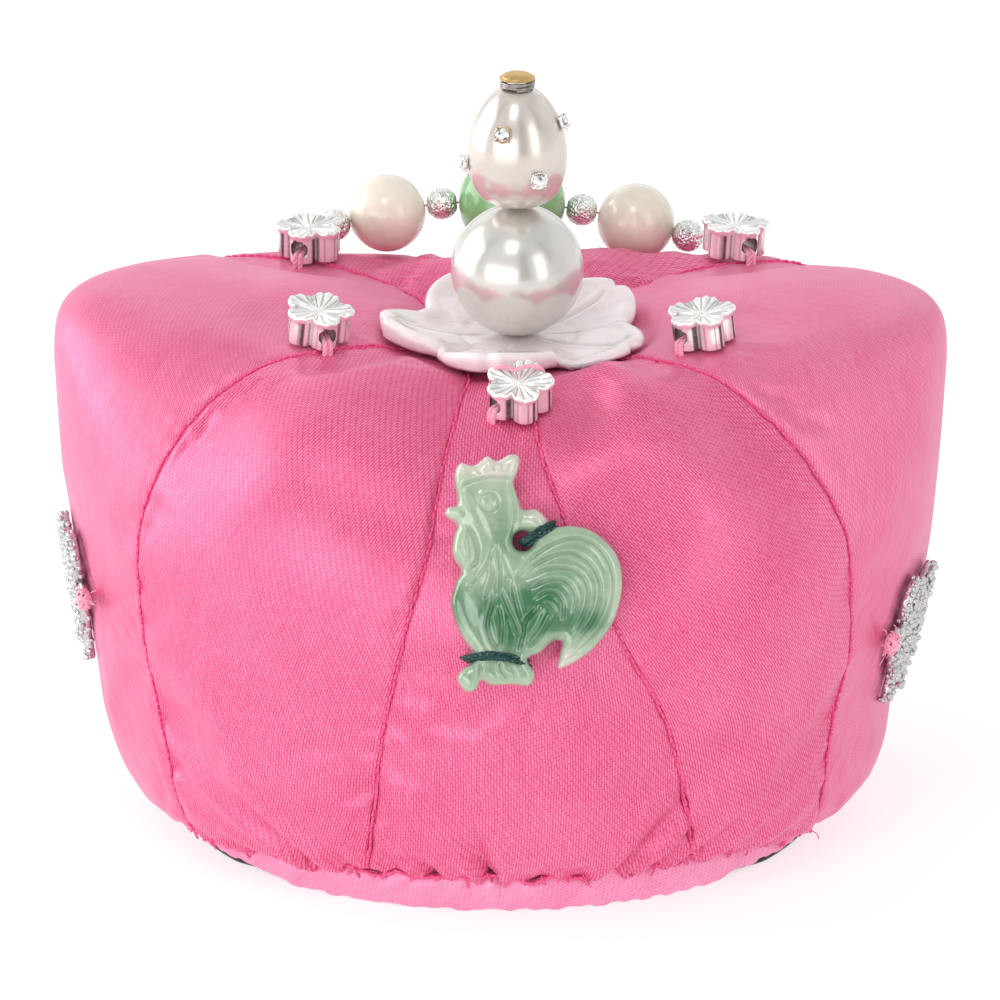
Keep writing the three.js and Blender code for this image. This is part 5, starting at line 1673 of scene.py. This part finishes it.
class CORONET_OT_finial(bpy.types.Operator):
    """Carved jade flower, two pearls on their wire, the small dome and six cut stones"""

    bl_idname = "coronet.finial"
    bl_label = "Flower and pearls"

    def execute(self, context):
        colours = context.scene.coronet_ornaments
        stand_for("jade_flower", "jade_pale", "flower_petals", *closed_ring(flower_surface()),
                  jade_finish("flower_jade", colours.flower_colour, 0.9, 0.35, 0.5))
        round_pearl = ball(10.0, 140, 84) + [*FINIAL_AT, PEARL_MIDDLE]
        stand_for("pearl_round", "pearl", "round_pearl", *ring_stack(round_pearl),
                  nacre_finish("round_nacre", colours.pearl_colour, 9.0))
        stand_for("pearl_drop", "pearl_drop", "drop_pearl", *ring_stack(drop_surface()),
                  nacre_finish("drop_nacre", colours.drop_colour, 5.0))
        pin = np.array([[*FINIAL_AT, z] for z in np.linspace(59.2, 115.3, 12)])
        wire = join(tube(coil_path(), 0.21, 10), tube(pin, 0.3, 10))
        stand_for("finial_wire", "wire", "coiled_wire", *wire,
                  silver_finish("dark_wire", (0.3, 0.28, 0.27), 0.3, 0.7, 0.03))
        stand_for("finial_cap", "gold", "gold_dome", *ring_stack(dome_surface()),
                  silver_finish("gold_skin", colours.gold_colour, 0.42, 1.0, 0.06))
        self.stones(colours)
        return {"FINISHED"}

    def stones(self, colours):
        """Six faceted stones in pronged cups, two gold and four silver, on the drop pearl."""
        glass = Finish("cut_glass", Roughness=0.02, IOR=1.7, Specular_IOR_Level=1.0, Metallic=0.35,
                       Coat_Weight=1.0, Coat_Roughness=0.02)
        # The stones' colour is painted reflection: noise patches from near black to white stand for
        # the glitter of their facets
        tint = glass.noise(glass.place(), 0.7, 2.0)
        glass.set("Base Color", glass.ramp(
            tint, (0.38, (0.06, 0.06, 0.08)), (0.47, (0.6, 0.62, 0.68)), (0.56, (1.0, 1.0, 1.0))))
        silver = silver_finish("cup_silver", colours.silver_colour, 0.2, 0.5, 0.02)
        gold = silver_finish("cup_gold", (0.6, 0.47, 0.33), 0.25, 0.5, 0.02)
        places = ((-18, 13.0, gold), (24, 6.2, silver), (80, 13.2, silver), (-84, 6.8, silver),
                  (150, 6, silver), (205, 12, gold))
        for number, (angle, height, metal) in enumerate(places, 1):
            step = 0.05
            slope = (drop_radius(height + step) - drop_radius(height - step)) / (2 * step)
            normal = unit(around(1.0, angle, -slope))
            seat = around(drop_radius(height), angle, DROP_FOOT + height) + [*FINIAL_AT, 0]
            seat = seat + normal * 0.1
            axes = axes_on(normal, (0, 0, 1.0))
            node = f"rhinestone_{number}"
            points, faces = stone(1.12, 0.62, 0.1, 0.62, 1.1)
            stand_for(node, "crystal", f"stone_{number}", placed(points, seat, axes), faces,
                      glass.material, smooth=False)
            points, faces = cup(1.2, 1.05)
            stand_for(node, "crystal", f"stone_cup_{number}", placed(points, seat, axes), faces,
                      metal)


class CORONET_OT_string(bpy.types.Operator):
    """Jade beads and silver balls on their string"""

    bl_idname = "coronet.string"
    bl_label = "String of beads"

    def execute(self, context):
        colours = context.scene.coronet_ornaments
        looks = {
            "green_jade": jade_finish("green_bead_jade", colours.green_colour, 3.0, 0.6, 0.4),
            "white_jade": jade_finish("cream_bead_jade", colours.cream_colour, 2.0, 0.5, 0.5),
            "silver_ball": self.stardust(colours.silver_colour),
        }
        middles = {node: node_middle(node) for node, _, _ in BEADS}
        order = sorted(BEADS, key=lambda bead: middles[bead[0]][0])
        path = np.array([middles[node] for node, _, _ in order])
        whole = np.concatenate([STRING_LEFT, path, STRING_RIGHT])
        tangents = unit(np.gradient(whole, axis=0))[2:-2]
        for (node, look, radius), tangent in zip(order, tangents):
            axes = axes_on(tangent, (0, 0, 1.0))
            silver = look == "silver_ball"
            points = ball(radius + 0.08, 48 if silver else 96, 30 if silver else 60, 0.5)
            if silver:
                dents = np.random.default_rng(71).normal(0, 0.022, points.shape[:2])
                points = points * (1 + dents[..., None] / radius)
            vertices, faces = ring_stack(points)
            stand_for(node, look, f"{node}_round", placed(vertices, middles[node], axes), faces,
                      looks[look])
        cord = twisted(through(whole, 120), 0.16, 1.2, samples_per_pitch=7)
        stand_for("bead_thread", "thread", "bead_string", *cord,
                  thread_finish("string_thread", colours.thread_colour))
        return {"FINISHED"}

    def stardust(self, colour):
        """Hammered silver: many tiny bright facets between dark pits."""
        finish = Finish("stardust_silver", Metallic=1.0)
        cells, tint = (finish.node("ShaderNodeTexVoronoi", {"feature": "F1"},
                                   {"Vector": finish.place(), "Scale": 1 / (0.42 * MM)}, output=kind)
                       for kind in ("Distance", "Color"))
        shade = tint.math("FRACT")
        finish.set("Base Color", finish.ramp(shade, (0.0, lighter(colour, -0.45)), (0.5, colour),
                                             (1.0, lighter(colour, 0.5))))
        finish.set("Roughness", 0.18 + shade * 0.2)
        finish.bump(cells + shade * 0.5, 0.22)
        return finish.material


class CORONET_OT_charms(bpy.types.Operator):
    """Five silver flower charms, bored through, with the pink threads that hold them"""

    bl_idname = "coronet.charms"
    bl_label = "Silver flowers"

    def execute(self, context):
        colours = context.scene.coronet_ornaments
        silver = self.silver(colours.silver_colour)
        thread = thread_finish("charm_thread", colours.thread_colour)
        grid, shade = charm_surface()
        vertices, faces = ring_stack(grid)
        # Painted shade and reflection for every point, and for the two end points
        shade = np.concatenate([shade.ravel(), [0.8, 0.9]])
        for node, out, across, turn in CHARMS:
            seat, normal = seat_at(out, across, -CHARM_LIFT)
            axes = axes_on(normal, (0, 1.0, 0), turn)
            piece = stand_for(node, "silver", f"{node}_silver", placed(vertices, seat, axes), faces,
                              silver, attributes={"Shade": shade})
            bored(piece, *placed([(0, -7, 2.3), (0, 7, 2.3)], seat, axes), 1.35)
            self.sew(node, seat, axes, thread)
        return {"FINISHED"}

    def silver(self, colour):
        """Bright cast silver, darkened by painted shade in the grooves and painted reflections as
        streaks on the walls.
        """
        finish = Finish("flower_silver", Metallic=0.62)
        grain = finish.noise(finish.place(), 0.7, 3.0, 0.6)
        painted_shade_reflection_and_grain = finish.attribute("Shade") + (grain - 0.5) * 0.25
        # Painted shade and reflections, with a little grain, take the silver down towards near black
        finish.set("Base Color", finish.ramp(
            painted_shade_reflection_and_grain, (0.05, (0.1, 0.095, 0.09)), (0.4, (0.66, 0.65, 0.62)), (0.8, colour)))
        finish.set("Roughness", 0.14 + grain * 0.14)
        finish.bump(grain, 0.02)
        return finish.material

    def sew(self, node, seat, axes, thread):
        """Two threads through the bore and down into the satin, and a third over the front charm."""
        parts = []
        for shift in (-0.38, 0.4):
            way = [(shift, -5.1, -1.4), (shift, -5.1, 0.6), (shift, -4.3, 1.4), (shift, 0, 1.45),
                   (shift, 4.3, 1.4), (shift, 5.1, 0.6), (shift, 5.1, -1.4)]
            parts.append(twisted(placed(through(way, 60), seat, axes), 0.44, 1.6))
        if node == "charm_front":
            level = axes_on(axes[2], (0, 1.0, 0))
            way = [(-4.4, 2.6, 1.0), (-3.7, 2.6, 4.6), (-2.4, 2.6, 5.5), (-0.7, 2.4, 5.0),
                   (1, 2.5, 5.5), (2.6, 2.6, 5.4), (3.6, 2.6, 4.4), (4.2, 2.6, 1.0)]
            parts.append(twisted(placed(through(way, 60), seat, level), 0.36, 1.8))
        piece = make_piece(f"{node}_thread", *join(*parts), thread)


class CORONET_OT_rooster(bpy.types.Operator):
    """Carved jade rooster and the teal threads that tie it on"""

    bl_idname = "coronet.rooster"
    bl_label = "Rooster"

    def execute(self, context):
        colours = context.scene.coronet_ornaments
        seat, normal = rooster_seat()
        axes = axes_on(normal, (0, 0, 1.0))
        seat = seat + placed(ROOSTER_SHIFT, 0.0, axes)
        edge = through(ROOSTER_OUTLINE, 420, closed=True)
        hole = np.stack(circle(40), -1) * 1.5 + [-1.5, 4.7]
        points, faces = cut_plate([edge, hole], 0.17, rooster_top,
                                  lambda x, y, depth: rounded_edge(depth, 0.5))
        jade = rooster_finish("rooster_jade", colours.rooster_pale,
                              colours.rooster_green)
        stand_for("rooster", "rooster_jade", "rooster_carving", placed(points, seat, axes), faces,
                  jade, attributes={"Tone": rooster_tone(points[:, 0], points[:, 1])})
        thread = thread_finish("tie_thread", colours.tie_colour)
        for node, way in TIES:
            strands = [twisted(placed(through(np.array(way) + shift, 70), seat, axes), 0.3, 3.2,
                               turn=shift[0] * 9) for shift in TIE_STRANDS]
            stand_for(node, "tie", f"{node}_strands", *join(*strands), thread)
        return {"FINISHED"}


class CORONET_OT_side_charms(bpy.types.Operator):
    """Silver openwork on both sides, and the knots that sew it on"""

    bl_idname = "coronet.side_charms"
    bl_label = "Side charms"

    def execute(self, context):
        colours = context.scene.coronet_ornaments
        # The openwork's silver is painted a darker grey than the other silver, painted shade for its
        # many crevices
        silver = silver_finish("openwork_silver", (0.6, 0.6, 0.59), 0.2, 0.7, 0.2)
        thread = thread_finish("knot_thread", colours.thread_colour)
        plate, faces = side_charm()
        for node, knot, out, across, front_side, roll in SIDE_CHARMS:
            seat, normal = seat_at(out, across, SIDE_SINK)
            axes = axes_on(normal, (0, 0, 1.0), roll)
            stand_for(node, "silver_openwork", f"{node}_silver", placed(plate, seat, axes), faces,
                      silver)
            points, knot_faces = sewn_knot(81 + front_side)
            points = points + [-front_side * KNOT_PLACE[0], KNOT_PLACE[1], 0.8]
            stand_for(knot, "thread", f"{knot}_thread", placed(points, seat, axes), knot_faces,
                      thread)
        return {"FINISHED"}


# Lamps: name, azimuth, elevation, width and height in metres, watts
LAMPS = (
    ("key", -28, 5, 1.2, 0.7, 5.2),
    ("high", -16, 58, 0.3, 0.35, 1.3),
    ("left", -106, 18, 1.0, 0.9, 7.7),
    ("side", 44, 20, 0.35, 0.8, 1.6),
    ("right", 118, 20, 0.9, 0.9, 0.5),
    ("back", 180, 26, 1.3, 0.6, 1.0),
)
# Dark screens in the sky: azimuth and half width, lowest and highest sine of elevation, share dimmed
SCREENS = ((13, 13, -0.2, 0.85, 0.75), (-78, 13, 0.1, 0.95, 0.6), (68, 9, 0.25, 0.95, 0.5))


class CORONET_OT_stage(bpy.types.Operator):
    """Pale floor, soft studio lights and the camera"""

    bl_idname = "coronet.stage"
    bl_label = "Stage"

    def execute(self, context):
        scene = context.scene
        scene.view_settings.view_transform = "Standard"
        mesh = bpy.data.meshes.new("floor")
        reach = 3.0
        corners = [(-reach, -reach, 0), (reach, -reach, 0), (reach, reach, 0), (-reach, reach, 0)]
        mesh.from_pydata(corners, [], [(0, 1, 2, 3)])
        finish = Finish("pale_floor", Roughness=0.9, Specular_IOR_Level=0.1, Emission_Strength=0.65,
                        Emission_Color=(1.0, 1.0, 1.0))
        finish.set("Base Color", (0.45, 0.45, 0.45))
        mesh.materials.append(finish.material)
        floor = bpy.data.objects.new("floor", mesh)
        scene.collection.objects.link(floor)
        for lamp in LAMPS:
            self.light(scene, *lamp)
        self.world(scene)
        self.camera(scene)
        return {"FINISHED"}

    def light(self, scene, name, azimuth, elevation, width, height, power):
        """An area light a metre and a bit away that looks at the coronet's middle."""
        lamp = bpy.data.lights.new(name, "AREA")
        lamp.shape = "RECTANGLE"
        lamp.size = width
        lamp.size_y = height
        lamp.energy = power
        thing = bpy.data.objects.new(name, lamp)
        scene.collection.objects.link(thing)
        up = math.radians(elevation)
        away = around(math.cos(up), azimuth, math.sin(up))
        thing.location = away * 1.1 + [0, 0, 0.05]
        thing.rotation_euler = Matrix(axes_on(away, (0, 0, 1.0)).tolist()).transposed().to_euler()

    def world(self, scene):
        """Pale soft light from all round, a little dimmer overhead and behind three dark screens."""
        world = bpy.data.worlds.new("studio")
        world.use_nodes = True
        tree = world.node_tree
        coordinates = tree.nodes.new("ShaderNodeTexCoord")
        split = tree.nodes.new("ShaderNodeSeparateXYZ")
        tree.links.new(coordinates.outputs["Generated"], split.inputs[0])
        x, y, z = (Number(tree, split.outputs[k]) for k in range(3))
        azimuth = x.math("ARCTAN2", y * -1.0) * (180 / math.pi)
        strength = 1 - between((z - 0.42) * 2.8, 0.0, 1.0) * 0.12
        for at, width, low, high, share in SCREENS:
            across = ((azimuth - at) / width) ** 2
            band = between(1.3 - across * 1.3, 0.0, 1.0)
            rise = between((z - low) * 6, 0.0, 1.0) * between((high - z) * 6, 0.0, 1.0)
            strength = strength * (1 - band * rise * share)
        background = tree.nodes["Background"]
        background.inputs["Color"].default_value = (1, 1, 1, 1)
        feed(tree, background.inputs["Strength"], strength * 0.79)
        scene.world = world

    def camera(self, scene):
        """A very long lens from straight in front, looking down by 19 degrees."""
        elevation = math.radians(19)
        distance = 5.0
        aim = (np.array([0, 0, 48.7]) + SHIFT) * MM
        lens = bpy.data.cameras.new("camera")
        lens.lens = 239.0 * distance
        lens.sensor_width = 36
        lens.clip_end = 40
        thing = bpy.data.objects.new("camera", lens)
        scene.collection.objects.link(thing)
        away = np.array([0, -math.cos(elevation), math.sin(elevation)])
        thing.location = aim + away * distance
        thing.rotation_euler = (math.pi / 2 - elevation, 0, 0)
        scene.camera = thing


class CORONET_PT_panel(bpy.types.Panel):
    """Lists the coronet's pieces in the sidebar"""

    bl_label = "Coronet"
    bl_idname = "CORONET_PT_panel"
    bl_space_type = "VIEW_3D"
    bl_region_type = "UI"
    bl_category = "Coronet"

    def draw(self, context):
        for operator in OPERATORS:
            self.layout.operator(operator.bl_idname)


GROUPS = (CORONET_PG_cap, CORONET_PG_ornaments)
OPERATORS = (CORONET_OT_stage, CORONET_OT_panels, CORONET_OT_edges, CORONET_OT_finial,
             CORONET_OT_string, CORONET_OT_charms, CORONET_OT_rooster, CORONET_OT_side_charms)


def register():
    """Registers the classes and hangs the settings on the scene."""
    for kind in (*GROUPS, *OPERATORS, CORONET_PT_panel):
        bpy.utils.register_class(kind)
    bpy.types.Scene.coronet_cap = bpy.props.PointerProperty(type=CORONET_PG_cap)
    bpy.types.Scene.coronet_ornaments = bpy.props.PointerProperty(type=CORONET_PG_ornaments)


def unregister():
    """Takes the settings and the classes away again."""
    del bpy.types.Scene.coronet_ornaments
    del bpy.types.Scene.coronet_cap
    for kind in (CORONET_PT_panel, *reversed(OPERATORS), *reversed(GROUPS)):
        bpy.utils.unregister_class(kind)


def main():
    """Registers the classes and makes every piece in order."""
    register()
    for operator in OPERATORS:
        group, name = operator.bl_idname.split(".")
        getattr(getattr(bpy.ops, group), name)()


if __name__ == "__main__":
    main()
